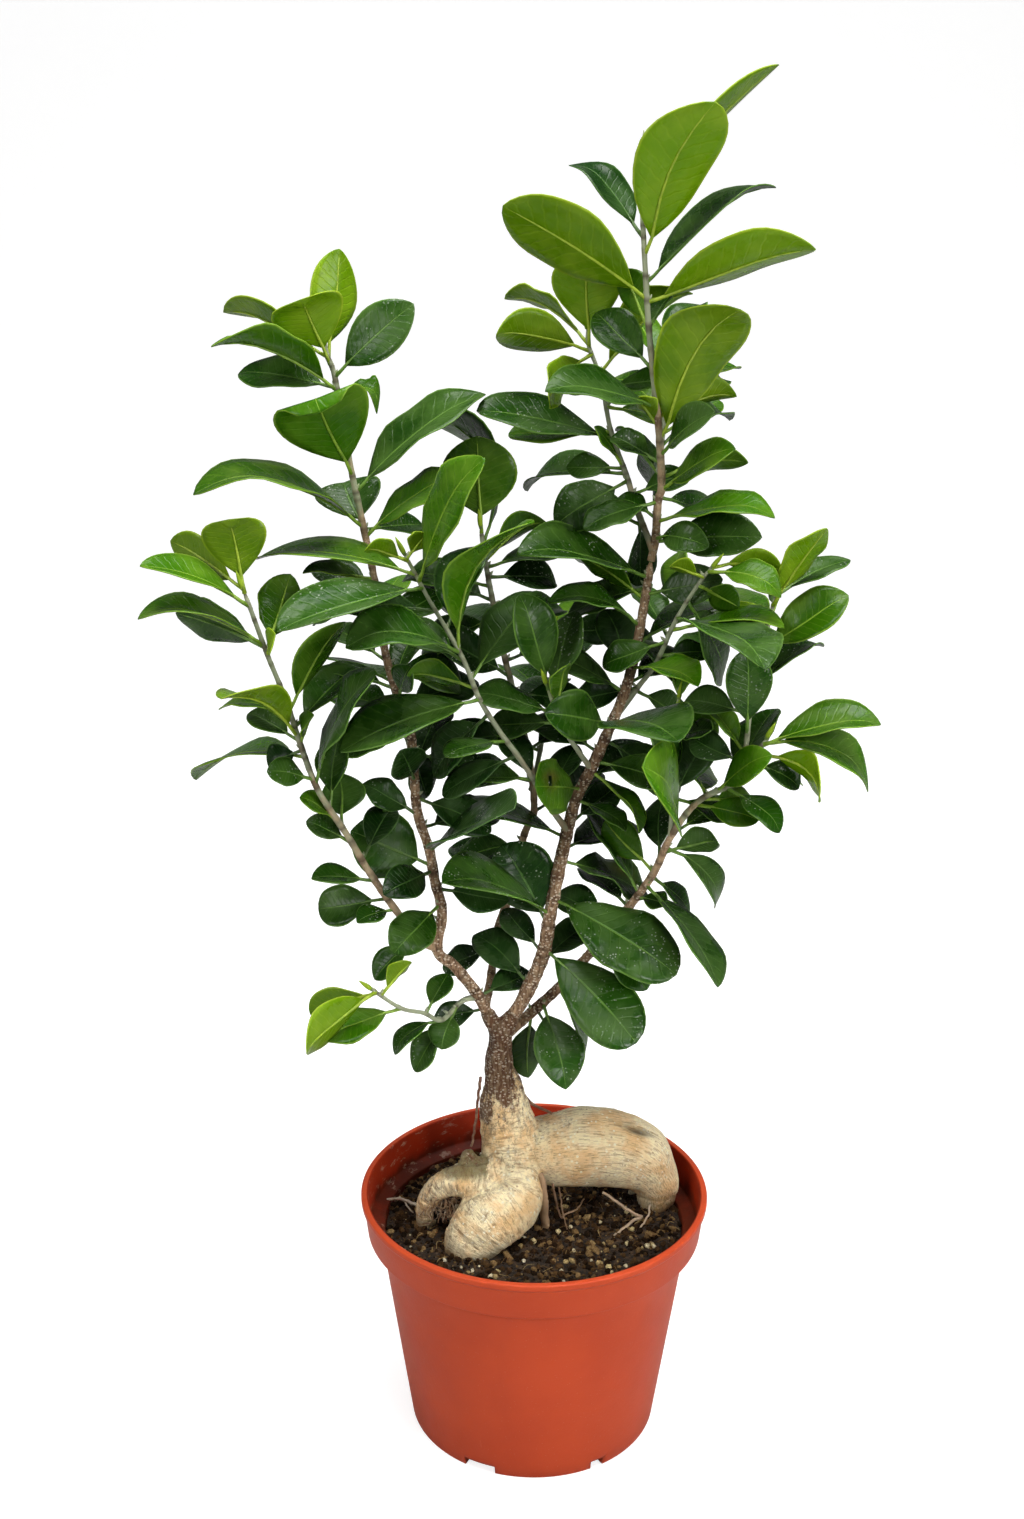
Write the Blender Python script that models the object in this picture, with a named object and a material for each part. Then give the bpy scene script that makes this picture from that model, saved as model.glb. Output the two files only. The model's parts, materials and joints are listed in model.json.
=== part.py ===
"""Ginseng ficus in its nursery pot: pot, soil, swollen roots and every growth flush as one grown piece."""

import math
import random

import bmesh
import bpy
from mathutils import Matrix, Vector
from mathutils.bvhtree import BVHTree

MM = 0.001
RIM_R = 75.0  # a common 15 cm grower's pot
POT_H = 108.0
BASE_R = 54.0
WALL_LOW_R, WALL_LOW_Z = 52.1, 7.0  # foot of the inside wall
WALL_TOP_R, WALL_TOP_Z = 65.0, 92.0  # top of the inside wall, under the stepped rim
SOIL_Z = 91.0  # level of the potting mix
GAP = 0.45  # left between neighbouring pieces
EYE = Vector((-10, -676, 513))  # directions of growth are given square to the line from here
LEAF_HALF = 0.6  # half the thickness of a leaf along its midrib
PETIOLE = 7.0
LONGEST = 70.0

# Each shoot: what it grows from, its route in mm, its radius at foot and end, where one flush ends and the
# next begins, and its leaves as (distance along, swing, lean, reach, shows, arch, age). Seen from the eye
# point, swing is the direction counted from the right, lean is towards (+) or away, shows is the width of
# blade in view with a minus where the underside is seen, and arch is how far the leaf bends.
SHOOTS = {
    "left": {
        "route": [(-21, 4, 190), (-25, 2, 199), (-34, 0, 212), (-41, -2, 220), (-39, 0, 236),
                  (-42, 0, 251), (-44, 0, 264), (-49, 2, 281), (-51, 4, 311), (-57, 5, 330), (-61, 5, 346),
                  (-64, 5, 371), (-69, 5, 398), (-73, 5, 419), (-78, 5, 452), (-81, 5, 461), (-82, 4, 469)],
        "girth": (2.4, 0.9), "cuts": [88, 138, 204, 256],
        "leaves": [
            (8, 24, -25, 26, 12, 10, 3), (49, 203, -15, 21, 8, 10, 2), (57, 225, 35, 26, 18, 10, 2),
            (64, 350, -25, 30, 14, 10, 3), (71, 191, -20, 19, 15, 10, 3), (72, 203, 50, 20, 15, 15, 3),
            (74, 155, 20, 36, 28, 10, 2), (81, 24, 20, 36, 9, 15, 3), (91, 12, -30, 34, 15, 10, 3),
            (96, 147, 20, 26, 12, 10, 3), (104, 335, -20, 34, 15, 10, 3), (111, 113, 60, 12, 16, 20, 3),
            (116, 62, -30, 30, 13, 10, 3), (123, 340, 15, 34, 14, 15, 3), (130, 190, 10, 35, 13, 15, 2),
            (142, 20, -25, 34, 15, 10, 3), (146, 73, 55, 12, 10, 0, 2), (150, 165, -10, 31, 7, 20, 2),
            (153, 160, -35, 32, 4, 10, 2), (160, 345, -30, 34, 15, 10, 2), (176, 30, -25, 30, 13, 10, 2),
            (186, 150, -30, 30, 13, 10, 2), (195, 171, 10, 28, 5, 10, 1), (212, 35, 10, 45, 11, 30, 1),
            (214, 111, -35, 22, 26, 10, 2), (215, 5, -40, 24, 10, 10, 2), (216, 162, 20, 65, 7, 50, 1),
            (230, 38, 0, 63, 14, 25, 2), (236, 113, 25, 36, -37, 10, 1), (267, 358, 30, 18, 5, 80, 1),
            (269, 157, 20, 49, -8, 40, 1), (270, 170, -25, 38, 13, 15, 2), (274, 42, 15, 40, 19, 25, 2),
            (279, 112, 10, 27, -28, 15, 0), (281, 83, -10, 41, -18, 15, 0), (282, 152, -20, 43, -5, 10, 0)],
    },
    "far_left": {
        "from": "left",
        "route": [(-41, -2, 221), (-48, -5, 226), (-58, -10, 242), (-68, -14, 260), (-76, -18, 277),
                  (-86, -22, 296), (-92, -24, 315), (-97, -26, 334), (-103, -28, 352), (-109, -30, 372),
                  (-111, -30, 378)],
        "girth": (1.6, 0.8), "cuts": [60, 88, 137],
        "leaves": [
            (11, 224, -10, 25, 11, 15, 2), (28, 195, 20, 16, 8, 20, 2), (34, 187, -10, 29, 17, 10, 2),
            (44, 175, 25, 25, 8, 10, 2), (55, 60, -25, 26, 13, 10, 3), (64, 150, 10, 20, 9, 10, 2),
            (72, 92, -25, 22, -18, 10, 2), (76, 144, 20, 17, 7, 10, 1), (82, 81, -10, 29, 13, 10, 2),
            (94, 61, 15, 47, 8, 30, 2), (96, 168, 25, 18, 11, 20, 2), (106, 185, -15, 46, 6, 35, 1),
            (109, 200, -30, 15, 12, 15, 3), (112, 66, 35, 12, 3, 10, 1), (113, 148, -30, 23, 11, 10, 2),
            (115, 152, 20, 31, -9, 60, 0), (119, 43, -25, 34, 14, 10, 2), (122, 168, 5, 29, 6, 60, 1),
            (126, 58, 15, 40, -11, 15, 1), (150, 71, 50, 8, 4, 10, 0), (151, 72, -15, 31, -17, 10, 1),
            (153, 157, -14, 36, -14, 20, 2), (154, 161, 12, 47, 6, 40, 1), (170, 158, 15, 42, 8, 35, 1),
            (175, 99, 10, 28, -24, 15, 0), (177, 143, -25, 32, -13, 10, 0)],
    },
    "right": {
        "route": [(-9, 5, 188), (-5, 5, 195), (3, 5, 215), (6, 6, 234), (11, 8, 261), (16, 8, 283),
                  (22, 8, 296), (29, 8, 313), (35, 8, 329), (39, 8, 346), (42, 8, 366), (44, 8, 382)],
        "girth": (3.0, 1.6), "cuts": [92, 139],
        "leaves": [
            (15, 138, -20, 33, 16, 40, 3), (26, 38, -30, 28, 14, 10, 3), (30, 130, -25, 26, 12, 10, 3),
            (33, 315, 15, 54, 27, 15, 2), (43, 120, -15, 38, 27, 10, 3), (48, 159, 10, 43, 11, 20, 2),
            (55, 330, 20, 58, 27, 15, 2), (64, 170, -35, 34, 15, 10, 3), (72, 337, -10, 43, 12, 20, 2),
            (77, 20, -30, 32, 14, 10, 3), (82, 164, 5, 56, 9, 20, 2), (88, 40, -25, 26, 13, 10, 3),
            (99, 334, 20, 24, 7, 20, 2), (104, 178, 55, 18, 22, 20, 3), (108, 30, -25, 30, 13, 10, 3),
            (113, 315, 10, 33, 5, 20, 1), (117, 345, 30, 32, 14, 20, 2), (121, 150, -30, 32, 14, 10, 3),
            (127, 328, -30, 38, 17, 15, 3), (134, 171, 45, 25, 20, 10, 2), (135, 352, 30, 34, 14, 15, 2),
            (148, 152, 20, 37, 11, 20, 2), (152, 22, -5, 28, 10, 15, 2), (157, 113, -20, 29, 16, 10, 3),
            (159, 351, 45, 26, 8, 20, 1), (161, 121, -35, 30, 8, 10, 2), (169, 16, 5, 52, 7, 40, 2),
            (176, 163, -10, 37, 7, 60, 2), (187, 147, 20, 31, -9, 20, 1), (188, 153, -30, 36, 4, 10, 2),
            (189, 13, 30, 30, 16, 15, 2), (192, 200, -25, 34, 12, 10, 2), (196, 166, 15, 50, 12, 15, 2)],
    },
    "top_right": {
        "after": "right",
        "route": [(44, 8, 382), (45.5, 8, 390), (46, 6, 406), (47, 4, 412), (45, 0, 434), (40, -4, 471),
                  (37, -6, 504), (36, -6, 519), (36, -7, 541)],
        "girth": (1.6, 0.7), "cuts": [70],
        "leaves": [
            (8, 3, 5, 41, 18, 10, 2), (9, 354, 40, 20, 12, 80, 2), (16, 10, 15, 45, 8, 20, 1),
            (17, 154, 10, 18, 7, 40, 2), (24, 200, 10, 30, 10, 15, 2), (26, 345, -20, 30, 10, 10, 2),
            (29, 34, 35, 31, 10, 10, 1), (34, 13, -10, 34, -9, 40, 1), (35, 131, -30, 26, 5, 0, 2),
            (40, 151, -20, 22, 9, 10, 2), (43, 40, 45, 25, 10, 20, 2), (46, 28, -35, 31, 11, 60, 2),
            (49, 62, 15, 58, -28, 10, 0), (54, 129, 30, 15, -7, 20, 0), (58, 20, -25, 31, -9, 20, 0),
            (62, 168, 27, 40, 11, 15, 2), (67, 20, -30, 34, 9, 10, 1), (76, 135, -35, 32, 16, 10, 2),
            (91, 118, -30, 24, -12, 10, 1), (92, 59, -45, 13, 6, 0, 2), (101, 20, 10, 63, -15, 0, 0),
            (102, 149, 10, 62, -24, 25, 0), (108, 43, -15, 60, 8, 8, 2), (118, 66, 22, 56, -27, 10, 0),
            (124, 131, -20, 40, 11, 10, 3), (136, 46, -14, 68, -6, 8, 0)],
    },
    "top_left": {
        "from": "top_right",
        "route": [(45, 8, 386), (41, 12, 395), (37, 14, 405), (35, 18, 412), (28, 22, 431), (24, 25, 450),
                  (19, 26, 463), (18, 26, 470)],
        "girth": (1.3, 0.7), "cuts": [58],
        "leaves": [
            (11, 160, -25, 34, 13, 10, 2), (15, 272, -25, 28, 12, 10, 3), (20, 200, -10, 28, 10, 15, 2),
            (24, 20, -25, 24, 10, 10, 2), (30, 211, 20, 33, 19, 20, 2), (33, 183, -30, 43, 10, 15, 2),
            (35, 179, -10, 23, 10, 10, 2), (36, 126, 10, 19, 5, 10, 1), (47, 168, 15, 54, 14, 15, 2),
            (50, 182, -15, 41, 10, 10, 1), (60, 350, -15, 26, 9, 10, 1), (65, 170, 25, 21, 8, 20, 2),
            (67, 9, 20, 26, 8, 15, 2), (73, 47, 18, 48, -12, 12, 0), (81, 225, 35, 24, -13, 40, 0),
            (82, 168, 15, 38, -17, 45, 0), (84, 92, 25, 33, -27, 20, 0), (85, 148, -25, 38, -4, 40, 0)],
    },
    "crossing": {
        "from": "right",
        "route": [(13, 8, 269), (4, 0, 284), (-1, -6, 295), (-8, -10, 307), (-15, -14, 318),
                  (-23, -16, 332), (-30, -18, 350), (-42, -20, 372), (-47, -21, 382), (-51, -22, 390)],
        "girth": (1.3, 0.7), "cuts": [92],
        "leaves": [
            (22, 60, -30, 26, 12, 10, 3), (30, 120, -20, 28, 12, 10, 3), (34, 178, -15, 24, 8, 20, 2),
            (48, 208, -20, 34, 11, 10, 3), (56, 191, 15, 24, 7, 20, 2), (70, 228, -20, 34, 15, 15, 3),
            (77, 200, 20, 56, 17, 20, 2), (82, 165, -20, 27, -9, 20, 1), (86, 53, -10, 46, 19, 15, 2),
            (94, 150, -30, 30, 13, 10, 2), (98, 172, 30, 41, 14, 40, 2), (99, 58, 20, 54, -10, 80, 1),
            (108, 70, -25, 40, 17, 10, 3), (117, 181, -10, 49, 11, 20, 3), (127, 195, 25, 55, 14, 20, 2),
            (130, 65, 15, 49, 14, 15, 1), (133, 172, -20, 62, 9, 25, 1), (139, 161, 20, 17, -7, 10, 0),
            (140, 52, 25, 12, -7, 10, 0)],
    },
    "middle": {
        "from": "trunk",
        "route": [(-15, 6, 177), (-21, 12, 184), (-19, 18, 199), (-16, 24, 219), (-12, 26, 231),
                  (-5, 26, 261), (-1, 24, 272), (-3, 22, 295), (-9, 20, 322), (-15, 18, 347),
                  (-21, 15, 379), (-23, 14, 394)],
        "girth": (1.9, 0.9), "cuts": [125],
        "leaves": [
            (14, 194, -20, 24, 12, 10, 3), (40, 200, -30, 25, 12, 10, 3), (48, 35, 20, 10, -6, 10, 0),
            (60, 150, -35, 28, 14, 10, 3), (68, 20, -40, 24, 12, 10, 3), (76, 160, -25, 30, 14, 10, 3),
            (89, 198, -10, 32, 14, 10, 2), (104, 30, -30, 34, 15, 10, 3), (118, 170, -20, 34, 15, 10, 3),
            (132, 30, -30, 32, 14, 10, 3), (140, 190, -15, 36, 15, 15, 3), (150, 40, -50, 26, 12, 10, 3),
            (158, 350, -20, 32, 14, 10, 3), (165, 150, 5, 34, 15, 15, 3), (172, 20, -25, 34, 14, 10, 3),
            (180, 145, -45, 28, 13, 10, 3), (186, 20, -30, 30, 13, 10, 3), (190, 200, -25, 34, 14, 15, 2),
            (196, 330, -15, 30, 13, 10, 3), (198, 160, -35, 30, 13, 10, 3), (204, 170, -20, 38, 12, 15, 2),
            (208, 0, -25, 30, 13, 10, 3), (212, 13, -20, 40, 9, 15, 2), (215, 36, -10, 29, -9, 30, 1),
            (221, 113, -10, 62, -5, 100, 2), (226, 92, -5, 38, -30, 10, 1)],
    },
    "centre_twig": {
        "from": "right",
        "route": [(22, 8, 296), (12, -2, 313), (7, -8, 325), (3, -12, 337)],
        "girth": (1.1, 0.7), "cuts": [],
        "leaves": [
            (30, 183, -20, 29, 13, 10, 2), (34, 163, 20, 34, 11, 15, 2),
            (36, 82, 30, 20, -7, 10, 1), (42, 77, -15, 37, 15, 10, 2), (47, 105, 10, 38, 17, 15, 2)],
    },
    "right_thin": {
        "from": "right",
        "route": [(32, 8, 321), (41, 10, 331), (47, 4, 342), (54, -4, 362), (62, -8, 377), (66, -10, 383)],
        "girth": (1.1, 0.7), "cuts": [],
        "leaves": [
            (12, 193, -25, 26, 13, 10, 3), (31, 5, -30, 20, 9, 10, 2), (38, 200, -25, 28, 12, 10, 2),
            (44, 8, 10, 43, 5, 15, 1), (50, 340, 20, 47, 10, 10, 2), (58, 300, -25, 36, 14, 15, 2),
            (66, 335, -25, 18, -11, 10, 1), (70, 160, 10, 14, -6, 10, 0), (73, 347, 20, 29, 11, 45, 1),
            (75, 0, -10, 27, -10, 60, 0)],
    },
    "low_right": {
        "from": "trunk",
        "route": [(-14, 7, 176), (-7, 12, 180), (11, 12, 198), (31, 6, 226), (47, 0, 252), (54, -8, 273),
                  (64, -14, 290), (80, -20, 301), (84, -22, 310), (88, -24, 319)],
        "girth": (2.3, 0.9), "cuts": [80, 124],
        "leaves": [
            (17, 267, -15, 28, -14, 15, 2), (20, 300, -25, 26, 12, 10, 3), (24, 287, 20, 37, 21, 10, 2),
            (34, 294, -20, 33, 5, 10, 2), (50, 60, -25, 28, 13, 10, 3), (65, 313, 15, 28, 14, 10, 2),
            (72, 150, -20, 30, 14, 10, 3), (84, 140, -25, 26, 12, 10, 3), (90, 347, 20, 13, 8, 10, 2),
            (92, 124, -10, 40, 9, 15, 2), (97, 309, 20, 50, 10, 20, 2), (102, 320, -35, 22, 8, 10, 2),
            (104, 135, -10, 29, -14, 15, 1), (110, 88, -25, 28, 13, 10, 3), (115, 17, 20, 24, -11, 15, 2),
            (118, 317, -10, 33, 11, 80, 2), (127, 30, -30, 30, 12, 10, 2), (130, 111, 30, 36, 9, 10, 1),
            (143, 350, 15, 25, 12, 20, 1), (147, 359, -30, 24, 7, 10, 1), (149, 123, -35, 32, 13, 10, 1),
            (152, 40, 25, 26, 12, 10, 1), (158, 327, 20, 27, 10, 20, 2), (162, 65, -35, 34, 14, 10, 2),
            (172, 347, -15, 22, 7, 30, 1), (174, 335, 5, 21, 10, 30, 2), (178, 327, 10, 30, -10, 90, 0),
            (182, 17, 5, 46, 12, 25, 1), (183, 343, -5, 46, 13, 80, 1)],
    },
    "right_shoot": {
        "from": "low_right",
        "route": [(80, -20, 301), (82, -16, 323), (84, -12, 342), (88, -10, 357), (91, -10, 373)],
        "girth": (1.1, 0.7), "cuts": [],
        "leaves": [
            (6, 155, -25, 24, 12, 10, 3), (10, 129, -20, 24, 8, 10, 1), (17, 92, 20, 33, 18, 10, 2),
            (26, 170, -20, 28, 12, 10, 2), (36, 40, -25, 34, 9, 10, 2), (44, 113, -15, 28, -20, 10, 0),
            (50, 38, 10, 40, 17, 10, 1), (54, 23, -30, 23, 7, 20, 2), (60, 140, -20, 28, 12, 10, 1),
            (65, 67, -40, 22, 5, 10, 1), (69, 58, 10, 35, -11, 20, 0), (73, 28, -10, 32, 9, 20, 2)],
    },
    "inner": {
        "from": "low_right",
        "route": [(54, -8, 273), (54, -6, 288), (52, -4, 300), (54, -2, 314), (56, 0, 328)],
        "girth": (1.1, 0.7), "cuts": [],
        "leaves": [
            (12, 103, 15, 37, 11, 10, 2), (14, 66, 5, 34, 16, 10, 3), (16, 343, 20, 28, 8, 10, 2),
            (34, 40, -15, 28, 12, 10, 2), (40, 14, 25, 16, 7, 10, 2),
            (50, 340, -10, 19, 9, 10, 1), (54, 80, -20, 15, 6, 10, 1), (58, 120, -10, 30, 12, 10, 2)],
    },
    "low_left": {
        "from": "left",
        "route": [(-24, 2, 197), (-31, 0, 196), (-39, -12, 193), (-46, -18, 199), (-55, -26, 205),
                  (-66, -32, 216)],
        "girth": (1.1, 0.7), "cuts": [],
        "leaves": [
            (12, 250, 25, 18, 13, 10, 2), (17, 239, -10, 28, 11, 10, 2), (22, 210, 15, 24, 7, 60, 2),
            (32, 60, -20, 19, 10, 10, 2), (46, 197, 20, 36, 14, 15, 1), (58, 47, 10, 18, -6, 10, 0),
            (60, 192, -20, 28, -11, 10, 0), (61, 216, 15, 36, -13, 15, 0)],
    },
    "back_left": {
        "from": "left",
        "route": [(-51, 4, 305), (-57, 20, 318), (-64, 36, 338), (-70, 48, 362)],
        "girth": (1.1, 0.7), "cuts": [],
        "leaves": [
            (7, 288, -35, 27, 13, 10, 3), (20, 165, -40, 30, 12, 10, 2), (32, 65, -45, 26, 12, 15, 2),
            (44, 150, -35, 30, 11, 20, 2), (52, 20, -40, 24, 12, 10, 2), (58, 120, -30, 26, 12, 15, 1),
            (62, 60, -55, 22, 13, 15, 1)],
    },
    "back_centre": {
        "from": "middle",
        "route": [(-2, 23, 282), (2, 40, 296), (6, 56, 318), (8, 68, 342)],
        "girth": (1.1, 0.7), "cuts": [],
        "leaves": [
            (20, 160, -40, 26, 12, 10, 2), (32, 30, -45, 28, 13, 15, 2), (44, 140, -50, 26, 12, 15, 2),
            (54, 50, -40, 26, 12, 10, 2), (64, 110, -45, 28, 14, 15, 1), (69, 60, -30, 26, 11, 10, 1),
            (74, 5, -10, 28, 14, 10, 3)],
    },
    "back_right": {
        "from": "right",
        "route": [(30, 8, 316), (40, 24, 324), (52, 42, 336), (60, 56, 354)],
        "girth": (1.1, 0.7), "cuts": [],
        "leaves": [
            (22, 330, -40, 26, 12, 15, 2), (32, 110, -45, 26, 12, 10, 2), (44, 10, -40, 28, 13, 15, 2),
            (54, 120, -40, 26, 12, 10, 2), (62, 40, -45, 28, 14, 15, 1), (66, 90, -30, 28, 11, 10, 1)],
    },
    "back_top": {
        "from": "top_right",
        "route": [(46, 3, 418), (48, 18, 430), (50, 34, 446), (50, 46, 466)],
        "girth": (1.1, 0.7), "cuts": [],
        "leaves": [
            (15, 259, -45, 20, 11, 10, 2), (20, 30, -35, 26, 12, 10, 1), (32, 150, -40, 28, 12, 15, 1),
            (42, 15, -45, 26, 13, 15, 2), (50, 120, -35, 28, 12, 10, 1), (56, 60, -40, 28, 13, 15, 2)],
    },
}

TRUNK = [
    (-9, -4, 113), (-10, 2, 123), (-12, 5, 133), (-15, 7, 144), (-14, 8, 155), (-16, 7, 170), (-15, 5, 182),
]

# Swollen roots and trunk: centre, radius across, radius in height (or in depth on an upright part).
ROOTS = [
    [((-9, -12, 105), 12.5, 12.5), ((-9, -4, 113), 13, 13), ((-10, 2, 123), 13, 12),
     ((-11, 5, 133), 12.5, 11.5), ((-13, 7, 144), 10.8, 10), ((-13.8, 7.5, 153), 8.4, 7.6),
     ((-15.3, 7, 163), 5.8, 5.6), ((-15, 5.5, 180), 5, 4.8)],
    [((-15, 5, 176), 4.2, 4.2), ((-18.6, 5.2, 184.3), 3.1, 3.1), ((-21, 4, 189.7), 2.5, 2.5)],
    [((-15, 5, 175), 4.5, 4.4), ((-12.2, 5, 182.5), 3.8, 3.8), ((-9.2, 5, 187.7), 3.1, 3.1)],
    [((-6, 5, 121), 11, 11), ((5, 8, 121), 15.5, 15.5), ((18, 11, 121), 17.2, 17.2),
     ((32, 13, 120), 17.3, 17.3), ((45, 14, 115), 15.5, 16.5), ((53, 15, 104), 11.5, 13),
     ((54.5, 15.5, 95), 8.8, 9.4), ((53.5, 15, 86), 7.2, 7.4), ((52, 15, 74), 5.8, 5.8)],
    [((-9, -6, 114), 12, 12), ((-9, -12, 109), 13, 13), ((-14.5, -16.5, 106), 13.5, 13.5),
     ((-21, -19.5, 102), 13.5, 12.5), ((-27, -21, 93), 12, 10.5), ((-28, -21, 77), 9, 8)],
    [((-12, -5, 114), 8.5, 8.5), ((-20, -8.5, 116), 7.6, 7.6), ((-31, -9.5, 116.5), 6.6, 7),
     ((-39, -8.5, 113.5), 5.6, 6), ((-45, -6.5, 106.5), 4.6, 4.8), ((-47.5, -4.5, 98), 3.9, 3.9),
     ((-47.5, -3.5, 90), 3.6, 3.6), ((-47.5, -3, 79), 3, 3)],
    [((-21, -6, 113), 7, 6.5), ((-26.5, -4.5, 120), 5.6, 5), ((-29, -3.5, 127.5), 2.6, 2.6)],
]

COLOURS = {
    "pot": ((0.48, 0.07, 0.03), 0.42),
    "soil": ((0.035, 0.022, 0.013), 0.95),
    "root": ((0.55, 0.42, 0.26), 0.7),
    "bark": ((0.2, 0.13, 0.08), 0.8),
    "young": ((0.24, 0.35, 0.03), 0.35),
    "green": ((0.07, 0.18, 0.03), 0.3),
    "dark": ((0.02, 0.07, 0.02), 0.25),
}


def spot(route, at):
    """The point and the direction at a distance along a route."""
    for start, end in zip(route, route[1:]):
        step = (end - start).length
        if at <= step or end is route[-1]:
            return start.lerp(end, at / step), (end - start).normalized()
        at -= step


def span(route):
    return sum((end - start).length for start, end in zip(route, route[1:]))


def thick(shoot, at):
    foot, end = shoot["girth"]
    return foot + (end - foot) * min(1, max(0, at / span(shoot["route"])))


def leaf_of(shoot, row):
    at, swing, lean, reach, shows, arch, age = row
    foot = spot(shoot["route"], at)[0]
    leaf = {
        "at": at, "foot": foot, "near": (EYE - foot).normalized(), "swing": math.radians(swing),
        "lean": float(lean), "first": lean, "reach": reach, "shows": shows, "arch": math.radians(arch),
        "age": age,
    }
    aim(leaf)
    return leaf


def aim(leaf):
    """Works out a leaf's direction, side, face, length and width from its swing and lean."""
    lean = math.radians(leaf["lean"])
    near = leaf["near"]
    right = Vector((0, 0, 1)).cross(near).normalized()
    along = math.cos(leaf["swing"]) * right + math.sin(leaf["swing"]) * near.cross(right)
    along = math.cos(lean) * along + math.sin(lean) * near
    leaf["long"] = min(LONGEST, leaf["reach"] / math.cos(lean))
    wide = max(abs(leaf["shows"]) + 0.5, 0.5 * leaf["long"], 12)
    turn = math.acos(leaf["shows"] / wide)
    facing = (near - near.dot(along) * along).normalized()
    upper = along.cross(facing) if along.x < 0 else facing.cross(along)
    leaf["along"] = along
    leaf["wide"] = wide
    leaf["face"] = (facing * math.cos(turn) + upper * math.sin(turn)).normalized()
    leaf["side"] = leaf["face"].cross(along)


def stations(leaf, half):
    """Centre, half width and half thickness at six places from the foot of a leaf to its tip."""
    petiole = min(PETIOLE, 0.25 * leaf["long"]) / leaf["long"]
    hump = leaf["long"] * math.tan(leaf["arch"] / 4) / 2
    places = []
    for share, width, depth in (
        (0, 0, 0), (0.35 * petiole, 0.75, 0.75), (petiole, 0.85, 0.75),
        (0.4, 0.45 * leaf["wide"], half), (0.74, 0.46 * leaf["wide"], half), (1, 0, 0),
    ):
        rise = hump * 4 * share * (1 - share)
        centre = leaf["foot"] + leaf["along"] * leaf["long"] * share + leaf["face"] * rise
        places.append((centre, width, depth))
    return places


def add_leaf(bm, leaf, half):
    """One leaf as a four-sided lens: the sphere's rings are drawn out along the midrib."""
    places = stations(leaf, half)
    ball = bmesh.ops.create_uvsphere(bm, u_segments=4, v_segments=5, radius=1)["verts"]
    ball.sort(key=lambda vert: -vert.co.z)
    rings = [ball[:1], ball[1:5], ball[5:9], ball[9:13], ball[13:17], ball[17:]]
    for ring, (centre, width, depth) in zip(rings, places):
        for vert in ring:
            flat = Vector((vert.co.x, vert.co.y)).normalized() if len(ring) == 4 else Vector((0, 0))
            vert.co = centre - leaf["side"] * flat.x * width + leaf["face"] * flat.y * depth
    return rings


def blade_tree(leaf):
    bm = bmesh.new()
    rings = add_leaf(bm, leaf, 1.4)
    bmesh.ops.delete(bm, geom=rings[0] + rings[1], context="VERTS")
    tree = BVHTree.FromBMesh(bm)
    bm.free()
    return tree


def ring_of(centre, direction, across, deep, sides):
    """A ring of points square to a direction, wider or deeper as asked."""
    first = Vector((0, 1, 0)).cross(direction)
    first = first.normalized() if first.length > 0.2 else Vector((1, 0, 0))
    second = direction.cross(first)
    turns = [2 * math.pi * (index + 0.5) / sides for index in range(sides)]
    return [centre + first * across * math.cos(turn) + second * deep * math.sin(turn) for turn in turns]


def add_tube(bm, rings):
    """A closed tube through rings of equal length."""
    rows = [[bm.verts.new(point) for point in ring] for ring in rings]
    sides = len(rows[0])
    faces = [bm.faces.new(rows[0][::-1]), bm.faces.new(rows[-1])]
    for low, high in zip(rows, rows[1:]):
        for index in range(sides):
            after = (index + 1) % sides
            faces.append(bm.faces.new((low[index], low[after], high[after], high[index])))
    bmesh.ops.recalc_face_normals(bm, faces=faces)


def flush_rings(shoot, start, end, sides, extra=0.0):
    """Rings of a shoot from one distance to another; a side shoot's foot lies flat against its parent."""
    route = shoot["route"]
    marks = [0.0]
    for low, high in zip(route, route[1:]):
        marks.append(marks[-1] + (high - low).length)
    inner = [mark for mark in marks if start + 3 < mark < end - 3]
    rings = []
    for at in [start, *inner, end]:
        centre = spot(route, at)[0]
        heading = (spot(route, min(at + 2, span(route)))[1] + spot(route, max(at - 2, 0))[1]).normalized()
        if at == start and "from" not in shoot or at == start > 0:
            centre = centre + heading * GAP
        radius = thick(shoot, at) + extra
        rings.append(ring_of(centre, heading, radius, radius, sides))
    if start == 0 and "from" in shoot:
        plane, normal = shoot["seat"]
        heading = (route[1] - route[0]).normalized()
        for index, point in enumerate(rings[0]):
            rings[0][index] = point + heading * ((plane - point).dot(normal) / heading.dot(normal))
    return rings


def flushes(shoot):
    ends = [0, *shoot["cuts"], span(shoot["route"])]
    return list(zip(ends, ends[1:]))


def seat_of(shoot, parent, radius_at):
    """The flat plane, just clear of the parent's bark, on which a side shoot's foot is cut."""
    foot = shoot["route"][0]
    best, at = 1e9, 0
    for step in range(int(span(parent)) * 2):
        distance = (spot(parent, step / 2)[0] - foot).length
        if distance < best:
            best, at = distance, step / 2
    axis = spot(parent, at)[1]
    heading = (shoot["route"][1] - foot).normalized()
    normal = (heading - axis * heading.dot(axis)).normalized()
    return spot(parent, at)[0] + normal * (radius_at(at) + GAP), normal


def plan():
    """Routes as vectors, leaves as directions, and the pieces each shoot is grown in."""
    for name, shoot in SHOOTS.items():
        shoot["route"] = [Vector(point) for point in shoot["route"]]
        shoot["leaves"] = [leaf_of(shoot, row) for row in shoot["leaves"]]
        for leaf in shoot["leaves"]:
            leaf["flush"] = name, max(start for start, end in flushes(shoot) if start <= leaf["at"])
    trunk = [Vector(point) for point in TRUNK]
    for shoot in SHOOTS.values():
        if shoot.get("from") == "trunk":
            shoot["seat"] = seat_of(shoot, trunk, lambda at: 5.2)
        elif "from" in shoot:
            parent = SHOOTS[shoot["from"]]
            shoot["seat"] = seat_of(shoot, parent["route"], lambda at: thick(parent, at))


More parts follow.
